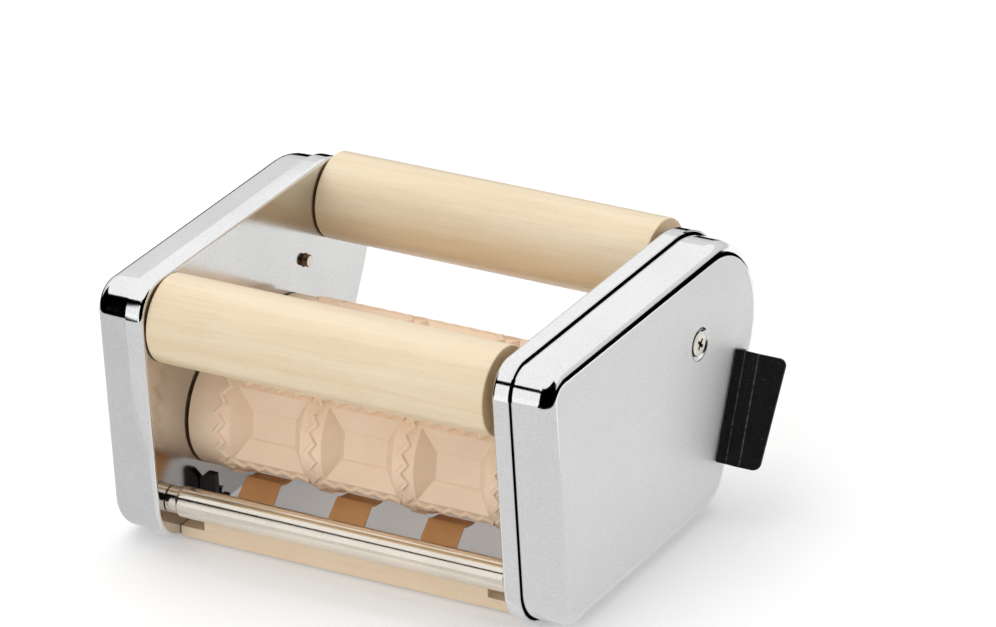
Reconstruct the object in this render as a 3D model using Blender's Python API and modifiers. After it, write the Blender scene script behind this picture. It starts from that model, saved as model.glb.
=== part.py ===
"""Ravioli attachment for a hand pasta machine, in metres with +Z up.

Two wooden rollers guide the dough sheets down to a pair of moulded rollers between two chromed housings.
The part stands on its base, and its origin is at the centre of its footprint. Places are given from a
datum: X = 0 at the left plate's inner wall, Y = 0 at the sharp front bottom corner, Z = 0 at the base.
"""

import math

import bmesh
import bpy
from mathutils import Matrix, Vector

# Housing outline, seen from the side
HEIGHT = 0.1249
BASE_LENGTH = 0.1451
FRONT_LEAN = math.radians(3.25)
REAR_LEAN = math.radians(28.5)
FRONT_BASE_RADIUS = 0.0207
REAR_BASE_RADIUS = 0.0227
REAR_TOP_RADIUS = 0.0427
FRONT_TOP_RADIUS = 0.0147

# Housing layers. The covers' rims reach into the plates' rims, a seam away from them
INNER_WIDTH = 0.168
PLATE_SHEET = 0.0008
PLATE_DEPTH = 0.0080
PLATE_EDGE_RADIUS = 0.0018
COVER_SHEET = 0.001
COVER_EDGE_RADIUS = 0.006
COVER_LAP = 0.003
LEFT_SEAM = 0.0003
LEFT_COVER_DEPTH = 0.0197
RIGHT_SEAM = 0.0007
GEAR_COVER_DEPTH = 0.0217

# Clearances
SEAT_GAP = 0.0003
RUNNING_GAP = 0.0003

# Wooden guide rollers and their fixed axles
WOOD_RADIUS = 0.0195
WOOD_CHAMFER = 0.0008
WOOD_LEFT_PLAY = 0.0004
WOOD_RIGHT_PLAY = 0.0051
WOOD_TOP_INSET = 0.0007
WOOD_FRONT_INSET = 0.0013
WOOD_REAR_REACH = 0.0137
AXLE_RADIUS = 0.003
AXLE_END = 0.0045
CLIP_WIDTH = 0.0025
CLIP_THICKNESS = 0.0009

# Moulded ravioli rollers
MOULD_RADIUS = 0.0275
MOULD_NIP = 0.0003
NIP_SETBACK = 0.0063
MOULD_Z = 0.0489
MOULD_LEFT_PLAY = 0.0010
MOULD_RIGHT_PLAY = 0.0014
MOULD_PHASE = math.radians(11)
RIDGE_HEIGHT = 0.0011
RIDGE_WIDTH = 0.0030
RING_SWING = 0.0018
BAR_SWING = 0.0015
BAR_END_GAP = 0.0006
ZIGZAGS_PER_POCKET = 5
POCKETS_AROUND = 4
POCKETS_ACROSS = 3
POCKET_PITCH = 0.045
POCKET_DEPTH = 0.0073
POCKET_LAND_ACROSS = 0.0052
POCKET_LAND_AROUND = 0.0036
POCKET_SLOPE_ACROSS = 0.0060
POCKET_SLOPE_AROUND = 0.0092

# Shafts of the moulded rollers, and what carries and drives them
SHAFT_FLATS = 0.011
JOURNAL_RADIUS = 0.0045
END_FLATS = 0.007
BUSH_WALL = 0.0025
BUSH_FLANGE = 0.003
BUSH_FLANGE_THICKNESS = 0.0025
GEAR_TEETH = 20
GEAR_WIDTH = 0.009
GEAR_BACKLASH = 0.0005
PRESSURE_ANGLE = math.radians(20)
SOCKET_RADIUS = 0.008
SOCKET_BORE_RADIUS = 0.0052
SOCKET_BORE_DEPTH = 0.0100
SOCKET_RECESS = 0.0006
SOCKET_GRIP = 0.0055
CRANK_HOLE_MARGIN = 0.0005
CRANK_PIN_RADIUS = 0.0012
CRANK_PIN_DEPTH = 0.0070

# Tie rods near the base
ROD_RADIUS = 0.0068
ROD_NECK_RADIUS = 0.0058
ROD_NECK_LENGTH = 0.0054
ROD_INSET = 0.0109
ROD_HEIGHT = 0.0213
ROD_SCREW_RADIUS = 0.002
ROD_SCREW_LENGTH = 0.009
SCREW_HEAD_WIDTH = 0.0018
SCREW_HEAD_THICKNESS = 0.0018

# Combs that lift the dough off the moulded rollers
COMB_LIFT = 0.0007
COMB_FRONT_Y = 0.0160
COMB_STRIP_DEPTH = 0.0095
COMB_STRIP_HEIGHT = 0.0048
LIP_HEIGHT = 0.0105
LIP_THICKNESS = 0.0026
LIP_LEFT_END = 0.012
LIP_RIGHT_END = 0.017
FINGER_ROOT_Y = 0.0177
FINGER_ROOT_Z = 0.0037
FINGER_SLOPE = math.radians(39.8)
FINGER_WIDTH = 0.0175
FINGER_THICKNESS = 0.0025
FINGER_TIP = 0.0010
FINGER_CLEARANCE = 0.0012
FINGER_OFFSET = -0.0108
TAB_WIDTH = 0.0092

# Brackets that hold the combs at the plates
BRACKET_Y = 0.0327
BRACKET_DEPTH = 0.016
BRACKET_WIDTH = 0.0097
BRACKET_CHAMFER = 0.002
BRACKET_CLEARANCE = 0.0008
BRACKET_SCREW_RADIUS = 0.0015
BRACKET_SCREW_LENGTH = 0.007

# Cover screws, each in a stamped dimple and a pillar
COVER_SCREW_SETBACK = 0.0145
COVER_SCREW_Z = 0.0847
PILLAR_RADIUS = 0.004
PILLAR_NECK_RADIUS = 0.0029
COVER_SCREW_RADIUS = 0.0019
COVER_SCREW_HEAD_RADIUS = 0.0043
COVER_SCREW_HEAD = 0.0014
COVER_SCREW_LENGTH = 0.010
DIMPLE_RADIUS = 0.0072
DIMPLE_FLOOR_RADIUS = 0.0055
DIMPLE_DEPTH = 0.0015

# Mounting lugs, folded from sheet
LUG_SHEET = 0.0016
LUG_INSET = 0.0233
LUG_Z = 0.0470
LUG_LENGTH = 0.0495
LUG_LEAN = math.radians(23.7)
LUG_REACH = 0.0265
LUG_LOW_REACH = 0.0220
LUG_FOOT = 0.011
LUG_BEND_RADIUS = 0.002
LUG_STEP = 0.0016
LUG_STEP_START = 0.0083
LUG_STEP_END = 0.0135
LUG_CORNER = 0.0035
RIVET_RADIUS = 0.002
RIVET_HEAD_RADIUS = 0.0036
RIVET_HEAD = 0.0010
RIVET_SPACING = 0.028

# Facets
TINY_SIDES = 8
SMALL_SIDES = 12
ROUND_SIDES = 16
WOOD_SIDES = 28
CORNER_STEPS = (6, 4, 8, 4)
PLATE_EDGE_STEPS = 2
COVER_EDGE_STEPS = 3
FLANK_STEPS = 2

# Places worked out from the sizes above
left_cover_rim = COVER_LAP - PLATE_DEPTH
left_face = left_cover_rim - LEFT_COVER_DEPTH
gear_cover_rim = INNER_WIDTH + PLATE_DEPTH - COVER_LAP
right_face = gear_cover_rim + GEAR_COVER_DEPTH
rear_slope = math.tan(REAR_LEAN)
rear_corner_y = BASE_LENGTH + (HEIGHT - REAR_TOP_RADIUS) * rear_slope - REAR_TOP_RADIUS / math.cos(REAR_LEAN)
wood_z = HEIGHT - WOOD_TOP_INSET - WOOD_RADIUS
front_wood_y = (WOOD_RADIUS + WOOD_FRONT_INSET) / math.cos(FRONT_LEAN) - wood_z * math.tan(FRONT_LEAN)
rear_wood_y = rear_corner_y + WOOD_REAR_REACH
wood_left = WOOD_LEFT_PLAY
wood_right = INNER_WIDTH - WOOD_RIGHT_PLAY
mould_spacing = 2 * MOULD_RADIUS + MOULD_NIP
nip_y = BASE_LENGTH / 2 + NIP_SETBACK
front_mould_y = nip_y - mould_spacing / 2
rear_mould_y = nip_y + mould_spacing / 2
mould_left = MOULD_LEFT_PLAY
mould_right = INNER_WIDTH - MOULD_RIGHT_PLAY
mould_middle = (mould_left + mould_right) / 2
land_radius = MOULD_RADIUS - RIDGE_HEIGHT
bush_radius = JOURNAL_RADIUS + RUNNING_GAP + BUSH_WALL
bush_outer = PLATE_SHEET + SEAT_GAP + BUSH_FLANGE_THICKNESS
gear_start = bush_outer + 2 * RUNNING_GAP
gear_module = mould_spacing / GEAR_TEETH
front_rod_y = ROD_INSET / math.cos(FRONT_LEAN) - ROD_HEIGHT * math.tan(FRONT_LEAN)
rear_rod_y = BASE_LENGTH + ROD_HEIGHT * rear_slope - ROD_INSET / math.cos(REAR_LEAN)
strip_top = COMB_LIFT + COMB_STRIP_HEIGHT
bracket_base = strip_top + SEAT_GAP
bracket_top = MOULD_Z - MOULD_RADIUS - BRACKET_CLEARANCE
bracket_screw_y = BRACKET_Y + BRACKET_DEPTH / 2
bracket_screw_z = (bracket_base + bracket_top) / 2
dimple_back = COVER_SHEET + DIMPLE_DEPTH
cover_screw_y = rear_corner_y - COVER_SCREW_SETBACK
lug_y = BASE_LENGTH + LUG_Z * rear_slope - LUG_INSET
WALLS = {"left": (0.0, -1), "right": (INNER_WIDTH, 1)}


def housing_outline(inset=0.0):
    """Points (y, z) round the housing, a rounded quadrilateral drawn in by the inset."""
    top_front = -HEIGHT * math.tan(FRONT_LEAN)
    top_rear = BASE_LENGTH + HEIGHT * rear_slope
    down, up = math.radians(-90), math.radians(90)
    front, rear = math.pi + FRONT_LEAN, -REAR_LEAN
    corners = (
        ((0.0, 0.0), FRONT_BASE_RADIUS, front, math.radians(270)),
        ((BASE_LENGTH, 0.0), REAR_BASE_RADIUS, down, rear),
        ((top_rear, HEIGHT), REAR_TOP_RADIUS, rear, up),
        ((top_front, HEIGHT), FRONT_TOP_RADIUS, up, front),
    )
    points = []
    for (sharp, radius, start, end), steps in zip(corners, CORNER_STEPS):
        first = Vector((math.cos(start), math.sin(start)))
        last = Vector((math.cos(end), math.sin(end)))
        centre = Vector(sharp) - radius * (first + last) / (1 + first.dot(last))
        for step in range(steps + 1):
            angle = start + (end - start) * step / steps
            reach = radius - inset
            points.append((centre.x + reach * math.cos(angle), centre.y + reach * math.sin(angle)))
    return points


outline_y = [y for y, _ in housing_outline()]
centre_y = (min(outline_y) + max(outline_y)) / 2
centre_x = (left_face + right_face) / 2

for old in list(bpy.data.objects):
    bpy.data.objects.remove(old)
parts = bpy.data.collections.new("ravioli_attachment")
cutters = bpy.data.collections.new("cutters")
bpy.context.scene.collection.children.link(parts)
bpy.context.scene.collection.children.link(cutters)
cutters.hide_render = True
datum = bpy.data.objects.new("datum", None)
datum.location = (-centre_x, -centre_y, 0.0)
parts.objects.link(datum)


def material(name, colour, roughness, metallic):
    made = bpy.data.materials.new(name)
    made.use_nodes = True
    shader = made.node_tree.nodes["Principled BSDF"]
    shader.inputs["Base Color"].default_value = (*colour, 1.0)
    shader.inputs["Roughness"].default_value = roughness
    shader.inputs["Metallic"].default_value = metallic
    made.diffuse_color = (*colour, 1.0)
    return made


CHROME = material("chrome", (0.80, 0.81, 0.82), 0.12, 1.0)
SATIN = material("satin_steel", (0.70, 0.71, 0.72), 0.35, 1.0)
WOOD = material("beech", (0.86, 0.70, 0.48), 0.55, 0.0)
PEACH = material("peach_plastic", (0.80, 0.55, 0.40), 0.45, 0.0)
CREAM = material("cream_plastic", (0.83, 0.68, 0.48), 0.45, 0.0)
BLACK = material("black_plastic", (0.02, 0.02, 0.022), 0.40, 0.0)
PAINT = material("black_paint", (0.015, 0.015, 0.018), 0.35, 0.0)
NYLON = material("white_nylon", (0.75, 0.74, 0.70), 0.50, 0.0)
STEEL = material("bright_steel", (0.62, 0.63, 0.64), 0.25, 1.0)


def placed(name, mesh, finish=None, location=(0.0, 0.0, 0.0)):
    """An object of the part, or a hidden cutter when it has no finish."""
    made = bpy.data.objects.new(name, mesh)
    made.parent = datum
    made.location = location
    if finish is None:
        cutters.objects.link(made)
        made.hide_render = True
        made.display_type = "WIRE"
    else:
        parts.objects.link(made)
        mesh.materials.clear()
        mesh.materials.append(finish)
    return made


def from_bmesh(name, bm, finish=None, location=(0.0, 0.0, 0.0)):
    mesh = bpy.data.meshes.new(name)
    bm.to_mesh(mesh)
    bm.free()
    return placed(name, mesh, finish, location)


def smooth(made, degrees=35):
    made.data.shade_smooth()
    made.data.set_sharp_from_angle(angle=math.radians(degrees))
    return made


def boolean(target, tool, operation="DIFFERENCE"):
    modifier = target.modifiers.new(tool.name, "BOOLEAN")
    modifier.operation = operation
    modifier.solver = "EXACT"
    modifier.object = tool


def prism(bm, start, end, y, z, radius, sides=SMALL_SIDES):
    """Adds a closed round or hexagonal bar along X."""
    place = Matrix.Translation(((start + end) / 2, y, z)) @ Matrix.Rotation(math.pi / 2, 4, "Y")
    length = abs(end - start)
    bmesh.ops.create_cone(
        bm, cap_ends=True, segments=sides, radius1=radius, radius2=radius, depth=length, matrix=place
    )


def hexagon(bm, start, end, y, z, flats):
    prism(bm, start, end, y, z, flats / math.sqrt(3), 6)


def slab(bm, outline, start, end):
    """Adds an outline of (y, z) points, extruded along X."""
    face = bm.faces.new([bm.verts.new((start, y, z)) for y, z in outline])
    made = bmesh.ops.extrude_face_region(bm, geom=[face])
    moved = [item for item in made["geom"] if isinstance(item, bmesh.types.BMVert)]
    bmesh.ops.translate(bm, verts=moved, vec=(end - start, 0.0, 0.0))
    bmesh.ops.recalc_face_normals(bm, faces=bm.faces)


def turned(name, profile, finish=None, y=0.0, z=0.0, sides=SMALL_SIDES, bored=False):
    """A profile of (x, radius) points, turned about X at (y, z). A bored profile is a closed loop."""
    mesh = bpy.data.meshes.new(name)
    edges = [(index, index + 1) for index in range(len(profile) - 1)]
    if bored:
        edges.append((len(profile) - 1, 0))
    mesh.from_pydata([(x, radius, 0.0) for x, radius in profile], edges, [])
    made = placed(name, mesh, finish, (0.0, y, z))
    screw = made.modifiers.new("turn", "SCREW")
    screw.axis = "X"
    screw.steps = sides
    screw.render_steps = sides
    screw.use_merge_vertices = True
    screw.merge_threshold = 0.00001
    following = profile[1:] + profile[:1]
    area = sum(x0 * r1 - x1 * r0 for (x0, r0), (x1, r1) in zip(profile, following))
    screw.use_normal_flip = area < 0
    return made


def pan(name, rim, face, inset, edge_radius, sheet, finish, steps):
    """A pressed tray, open at its rim and flat at its face, drawn in from the housing's outline."""
    outward = math.copysign(1.0, face - rim)
    sections = [(rim, inset)]
    for step in range(steps + 1):
        turn = math.radians(90 * step / steps)
        depth = edge_radius * (1 - math.sin(turn))
        sections.append((face - outward * depth, inset + edge_radius * (1 - math.cos(turn))))
    bm = bmesh.new()
    rings = [[bm.verts.new((x, y, z)) for y, z in housing_outline(drawn)] for x, drawn in sections]
    for near, far in zip(rings, rings[1:]):
        for index in range(len(near)):
            bm.faces.new((near[index - 1], near[index], far[index], far[index - 1]))
    cap = bm.faces.new(rings[-1])
    bmesh.ops.recalc_face_normals(bm, faces=bm.faces)
    cap.normal_update()
    if cap.normal.x * outward < 0:
        bmesh.ops.reverse_faces(bm, faces=bm.faces)
    made = smooth(from_bmesh(name, bm, finish))
    shell = made.modifiers.new("sheet", "SOLIDIFY")
    shell.thickness = sheet
    shell.offset = -1.0
    shell.use_even_offset = True
    return made


def dimple(cover, face, outward):
    """The stamped dimple round a cover screw: a boss behind the sheet and a recess in front."""
    behind = face - outward * COVER_SHEET / 2
    bm = bmesh.new()
    boss_radius = DIMPLE_RADIUS + COVER_SHEET
    prism(bm, behind, face - outward * dimple_back, cover_screw_y, COVER_SCREW_Z, boss_radius)
    boolean(cover, from_bmesh(cover.name + "_boss", bm), "UNION")
    front = face + outward * COVER_SHEET
    floor = face - outward * DIMPLE_DEPTH
    through = floor - outward * 2 * COVER_SHEET
    hole = COVER_SCREW_RADIUS + SEAT_GAP
    slope = (DIMPLE_RADIUS - DIMPLE_FLOOR_RADIUS) * COVER_SHEET / DIMPLE_DEPTH
    profile = [(front, 0.0), (front, DIMPLE_RADIUS + slope), (floor, DIMPLE_FLOOR_RADIUS)]
    profile += [(floor, hole), (through, hole), (through, 0.0)]
    boolean(cover, turned(cover.name + "_recess", profile, None, cover_screw_y, COVER_SCREW_Z))


def rivet_places():
    """Centres (y, z) of the two rivets on a lug's foot."""
    along = Vector((math.sin(LUG_LEAN), math.cos(LUG_LEAN)))
    across = Vector((along.y, -along.x))
    middle = Vector((lug_y, LUG_Z)) + across * (LUG_BEND_RADIUS + (LUG_FOOT - LUG_BEND_RADIUS) / 2)
    return [middle + along * side * RIVET_SPACING / 2 for side in (-1, 1)]


def side_plates():
    form = (PLATE_EDGE_RADIUS, PLATE_SHEET, CHROME, PLATE_EDGE_STEPS)
    left = pan("left_side_plate", -PLATE_DEPTH, 0.0, 0.0, *form)
    right = pan("right_side_plate", INNER_WIDTH + PLATE_DEPTH, INNER_WIDTH, 0.0, *form)
    bm = bmesh.new()
    holes = [
        (front_wood_y, wood_z, AXLE_RADIUS + SEAT_GAP, SMALL_SIDES),
        (rear_wood_y, wood_z, AXLE_RADIUS + SEAT_GAP, SMALL_SIDES),
        (front_mould_y, MOULD_Z, bush_radius + SEAT_GAP, ROUND_SIDES),
        (rear_mould_y, MOULD_Z, bush_radius + SEAT_GAP, ROUND_SIDES),
        (front_rod_y, ROD_HEIGHT, ROD_SCREW_RADIUS + SEAT_GAP, TINY_SIDES),
        (rear_rod_y, ROD_HEIGHT, ROD_SCREW_RADIUS + SEAT_GAP, TINY_SIDES),
        (bracket_screw_y, bracket_screw_z, BRACKET_SCREW_RADIUS + SEAT_GAP, TINY_SIDES),
        (2 * nip_y - bracket_screw_y, bracket_screw_z, BRACKET_SCREW_RADIUS + SEAT_GAP, TINY_SIDES),
        (cover_screw_y, COVER_SCREW_Z, PILLAR_NECK_RADIUS + SEAT_GAP, SMALL_SIDES),
    ]
    for y, z, radius, sides in holes:
        prism(bm, -2 * PLATE_SHEET, INNER_WIDTH + 2 * PLATE_SHEET, y, z, radius, sides)
    tool = from_bmesh("plate_holes", bm)
    boolean(left, tool)
    boolean(right, tool)


def covers():
    form = (COVER_EDGE_RADIUS, COVER_SHEET, SATIN, COVER_EDGE_STEPS)
    left = pan("left_cover", left_cover_rim, left_face, PLATE_SHEET + LEFT_SEAM, *form)
    right = pan("gear_cover", gear_cover_rim, right_face, PLATE_SHEET + RIGHT_SEAM, *form)
    dimple(left, left_face, -1)
    dimple(right, right_face, 1)
    bm = bmesh.new()
    for place in rivet_places():
        start, end = left_face - COVER_SHEET, right_face + COVER_SHEET
        prism(bm, start, end, place.x, place.y, RIVET_RADIUS + SEAT_GAP, TINY_SIDES)
    tool = from_bmesh("rivet_holes", bm)
    boolean(left, tool)
    boolean(right, tool)
    bm = bmesh.new()
    radius = SOCKET_RADIUS + CRANK_HOLE_MARGIN
    prism(bm, left_face - COVER_SHEET, left_face + 2 * COVER_SHEET, front_mould_y, MOULD_Z, radius, ROUND_SIDES)
    boolean(left, from_bmesh("crank_hole", bm))


def guide_roller(name, y):
    """A wooden roller with eased ends, bored for its fixed axle."""
    bore = AXLE_RADIUS + RUNNING_GAP
    eased = WOOD_RADIUS - WOOD_CHAMFER
    profile = [(wood_left, bore), (wood_left, eased), (wood_left + WOOD_CHAMFER, WOOD_RADIUS)]
    profile += [(wood_right - WOOD_CHAMFER, WOOD_RADIUS), (wood_right, eased), (wood_right, bore)]
    smooth(turned(name + "_wood_roller", profile, WOOD, y, wood_z, WOOD_SIDES, bored=True))
    bm = bmesh.new()
    prism(bm, -PLATE_SHEET - AXLE_END, INNER_WIDTH + PLATE_SHEET + AXLE_END, 0.0, 0.0, AXLE_RADIUS)
    smooth(from_bmesh(name + "_roller_axle", bm, STEEL, (0.0, y, wood_z)))


def clip(name, start, shaft_radius, y, z):
    """A retaining clip, a flat ring round a shaft's end."""
    bore = shaft_radius + SEAT_GAP
    end = start + CLIP_THICKNESS
    rim = bore + CLIP_WIDTH
    smooth(turned(name, [(start, bore), (start, rim), (end, rim), (end, bore)], STEEL, y, z, bored=True))


def axle_clips():
    """Retaining clips on the axle ends, outside the plates."""
    outside = PLATE_SHEET + SEAT_GAP
    for row, y in (("front", front_wood_y), ("rear", rear_wood_y)):
        clip(f"{row}_left_axle_clip", -outside - CLIP_THICKNESS, AXLE_RADIUS, y, wood_z)
        clip(f"{row}_right_axle_clip", INNER_WIDTH + outside, AXLE_RADIUS, y, wood_z)


def ridge_section(bm, x, angle, along, around):
    """Three points across a ridge: base, crest, base. along and around give the ridge's width direction."""
    section = []
    for offset, radius in ((-RIDGE_WIDTH / 2, land_radius), (0.0, MOULD_RADIUS), (RIDGE_WIDTH / 2, land_radius)):
        turn = angle + around * offset / MOULD_RADIUS
        section.append(bm.verts.new(round_axis(x + along * offset, radius, turn)))
    return section


def round_axis(x, radius, angle):
    return x, radius * math.cos(angle), radius * math.sin(angle)


def ridge_faces(bm, near, far):
    for index in range(len(near) - 1):
        bm.faces.new((near[index], near[index + 1], far[index + 1], far[index]))


def crimp_ring(bm, middle, steps):
    """A zigzag ridge round the roller, as one section of three points for each step."""
    sections = []
    for step in range(steps):
        angle = 2 * math.pi * step / steps
        sections.append(ridge_section(bm, middle + RING_SWING * (-1) ** step, angle, 1, 0))
    for step in range(steps):
        ridge_faces(bm, sections[step - 1], sections[step])
    return sections


def crimp_bar(bm, places, middle):
    """A zigzag ridge along the roller, between two pockets, closed at both ends."""
    sections = []
    for index, x in enumerate(places):
        turn = middle + BAR_SWING * (-1) ** index / MOULD_RADIUS
        sections.append(ridge_section(bm, x, turn, 0, 1))
    for near, far in zip(sections, sections[1:]):
        ridge_faces(bm, near, far)
    for end in (sections[0], sections[-1]):
        bm.faces.new(end)
    return sections


def pocket(bm, start, turn, stations):
    """A pocket with a flat floor and four slopes. Returns the points of its two curved edges."""
    floor_height = land_radius - POCKET_DEPTH
    opening = math.pi / POCKETS_AROUND - POCKET_LAND_AROUND / land_radius
    floor_reach = land_radius * math.sin(opening) - POCKET_SLOPE_AROUND
    floor_radius = math.hypot(floor_height, floor_reach)
    floor_angle = math.atan2(floor_reach, floor_height)
    low, high = start + POCKET_LAND_ACROSS, start + POCKET_PITCH - POCKET_LAND_ACROSS
    edges, corners = [], []
    for x, slope in ((low, POCKET_SLOPE_ACROSS), (high, -POCKET_SLOPE_ACROSS)):
        angles = [turn + opening * index / stations for index in range(-stations, stations + 1)]
        edge = [bm.verts.new(round_axis(x, land_radius, angle)) for angle in angles]
        pair = [bm.verts.new(round_axis(x + slope, floor_radius, turn + side * floor_angle)) for side in (-1, 1)]
        for index in range(stations):
            bm.faces.new((edge[index], edge[index + 1], pair[0]))
            bm.faces.new((edge[index + stations], edge[index + stations + 1], pair[1]))
        bm.faces.new((edge[stations], pair[1], pair[0]))
        edges.append(edge)
        corners.append(pair)
    for side, end in ((0, 0), (1, -1)):
        bm.faces.new((edges[0][end], edges[1][end], corners[1][side], corners[0][side]))
    bm.faces.new((corners[0][0], corners[0][1], corners[1][1], corners[1][0]))
    return edges


def mould_surface():
    """The moulded roller: end bands, crimp ridges, land and pockets, all sharing their points."""
    bm = bmesh.new()
    around = 2 * ZIGZAGS_PER_POCKET
    half = ZIGZAGS_PER_POCKET
    steps = around * POCKETS_AROUND
    first = mould_middle - POCKETS_ACROSS * POCKET_PITCH / 2
    rings = [crimp_ring(bm, first + index * POCKET_PITCH, steps) for index in range(POCKETS_ACROSS + 1)]
    for x, ring, side in ((mould_left, rings[0], 0), (mould_right, rings[-1], -1)):
        rim = [bm.verts.new(round_axis(x, land_radius, 2 * math.pi * step / steps)) for step in range(steps)]
        for step in range(steps):
            bm.faces.new((rim[step - 1], rim[step], ring[step][side], ring[step - 1][side]))
        bm.faces.new(rim)
    for column in range(POCKETS_ACROSS):
        start = first + column * POCKET_PITCH
        low_ring = [section[-1] for section in rings[column]]
        high_ring = [section[0] for section in rings[column + 1]]
        pockets = []
        for row in range(POCKETS_AROUND):
            edges = pocket(bm, start, 2 * math.pi * row / POCKETS_AROUND, half - 1)
            for edge, ring in zip(edges, (low_ring, high_ring)):
                for index in range(len(edge) - 1):
                    step = row * around + index - (half - 1)
                    bm.faces.new((ring[step], ring[(step + 1) % steps], edge[index + 1], edge[index]))
            pockets.append(edges)
        for row in range(POCKETS_AROUND):
            step = row * around + half
            swing = RING_SWING * (-1) ** step
            clear = RIDGE_WIDTH / 2 + BAR_END_GAP
            places = [start + swing + clear]
            places += [start + POCKET_PITCH * index / around for index in range(1, around)]
            places.append(start + POCKET_PITCH + swing - clear)
            bar = crimp_bar(bm, places, 2 * math.pi * (row + 0.5) / POCKETS_AROUND)
            before, after = pockets[row], pockets[(row + 1) % POCKETS_AROUND]
            bm.faces.new([before[0][-1]] + [section[0] for section in bar] + [before[1][-1]])
            bm.faces.new([after[0][0]] + [section[-1] for section in bar] + [after[1][0]])
            for ring, end, side in ((low_ring, bar[0], 0), (high_ring, bar[-1], 1)):
                here, following = ring[step], ring[(step + 1) % steps]
                bm.faces.new((ring[step - 1], here, end[0], before[side][-1]))
                bm.faces.new((here, following, after[side][0], end[-1]))
                bm.faces.new((here, end[-1], end[0]))
    bmesh.ops.recalc_face_normals(bm, faces=bm.faces)
    bmesh.ops.triangulate(bm, faces=bm.faces, ngon_method="EAR_CLIP")
    return bm


def mould_roller(name, y, turn):
    """A moulded roller, turned so that at the nip the two rollers' pockets face each other."""
    bm = mould_surface()
    bmesh.ops.rotate(bm, verts=bm.verts, matrix=Matrix.Rotation(turn, 3, "X"))
    roller = smooth(from_bmesh(name, bm, PEACH, (0.0, y, MOULD_Z)), 25)
    bm = bmesh.new()
    hexagon(bm, mould_left - SEAT_GAP, mould_right + SEAT_GAP, 0.0, 0.0, SHAFT_FLATS + 2 * SEAT_GAP)
    boolean(roller, from_bmesh(name + "_bore", bm, None, (0.0, y, MOULD_Z)))


def mould_shaft(name, y, left_end):
    """A hexagonal shaft with turned journals and smaller hexagonal ends."""
    journal_left = -bush_outer - RUNNING_GAP
    journal_right = INNER_WIDTH - journal_left
    gear_end = INNER_WIDTH + gear_start + GEAR_WIDTH + SEAT_GAP + CLIP_THICKNESS + CLIP_THICKNESS
    bm = bmesh.new()
    hexagon(bm, mould_left, mould_right, 0.0, 0.0, SHAFT_FLATS)
    shaft = from_bmesh(name, bm, STEEL, (0.0, y, MOULD_Z))
    bm = bmesh.new()
    prism(bm, journal_left, journal_right, 0.0, 0.0, JOURNAL_RADIUS, ROUND_SIDES)
    boolean(shaft, from_bmesh(name + "_journals", bm, None, (0.0, y, MOULD_Z)), "UNION")
    bm = bmesh.new()
    hexagon(bm, left_end, gear_end, 0.0, 0.0, END_FLATS)
    boolean(shaft, from_bmesh(name + "_ends", bm, None, (0.0, y, MOULD_Z)), "UNION")


def bush(name, wall, outward, y):
    """A flanged bush in a plate, with its flange on the plate's outer side."""
    bore = JOURNAL_RADIUS + RUNNING_GAP
    flange = wall + outward * (PLATE_SHEET + SEAT_GAP)
    end = wall + outward * bush_outer
    profile = [(wall, bore), (wall, bush_radius), (flange, bush_radius)]
    profile += [(flange, bush_radius + BUSH_FLANGE), (end, bush_radius + BUSH_FLANGE), (end, bore)]
    smooth(turned(name, profile, NYLON, y, MOULD_Z, ROUND_SIDES, bored=True))


def gear_outline(rotation):
    """Points round a spur gear with involute flanks, thinned for backlash."""
    pitch = gear_module * GEAR_TEETH / 2
    base = pitch * math.cos(PRESSURE_ANGLE)
    tip = pitch + gear_module * 0.95
    root = pitch - 1.25 * gear_module
    involute = math.tan(PRESSURE_ANGLE) - PRESSURE_ANGLE
    half_tooth = math.pi / (2 * GEAR_TEETH) - GEAR_BACKLASH / (2 * pitch) + involute
    flank = []
    start = max(base, root)
    for step in range(FLANK_STEPS + 1):
        radius = start + (tip - start) * step / FLANK_STEPS
        pressure = math.acos(min(1.0, base / radius))
        flank.append((radius, half_tooth - (math.tan(pressure) - pressure)))
    points = []
    for tooth in range(GEAR_TEETH):
        middle = rotation + 2 * math.pi * tooth / GEAR_TEETH
        side = [(root, -flank[0][1])] + [(radius, -half) for radius, half in flank]
        side += [(radius, half) for radius, half in reversed(flank)] + [(root, flank[0][1])]
        for radius, angle in side:
            points.append((radius * math.cos(middle + angle), radius * math.sin(middle + angle)))
    return points


def drive_gear(name, y, rotation):
    """A spur gear with a hexagonal hole, drawn as a flat outline and given its width."""
    curve = bpy.data.curves.new(name, "CURVE")
    curve.dimensions = "2D"
    curve.fill_mode = "BOTH"
    curve.extrude = GEAR_WIDTH / 2
    hole = (END_FLATS + 2 * SEAT_GAP) / math.sqrt(3)
    turns = [math.radians(60 * corner) for corner in range(6)]
    corners = [(hole * math.cos(turn), hole * math.sin(turn)) for turn in turns]
    for outline in (gear_outline(rotation), corners):
        spline = curve.splines.new("POLY")
        spline.points.add(len(outline) - 1)
        for point, (across, up) in zip(spline.points, outline):
            point.co = (across, up, 0.0, 1.0)
        spline.use_cyclic_u = True
    x = INNER_WIDTH + gear_start + GEAR_WIDTH / 2
    gear = placed(name, curve, STEEL, (x, y, MOULD_Z))
    gear.rotation_euler = (math.pi / 2, 0.0, math.pi / 2)


def drive_gears():
    """Equal gears in mesh: a tooth of the front one points at a gap of the rear one."""
    drive_gear("front_drive_gear", front_mould_y, 0.0)
    drive_gear("rear_drive_gear", rear_mould_y, math.pi + math.pi / GEAR_TEETH)
    start = INNER_WIDTH + gear_start + GEAR_WIDTH + SEAT_GAP
    clip("front_gear_clip", start, END_FLATS / math.sqrt(3), front_mould_y, MOULD_Z)
    clip("rear_gear_clip", start, END_FLATS / math.sqrt(3), rear_mould_y, MOULD_Z)


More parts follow.
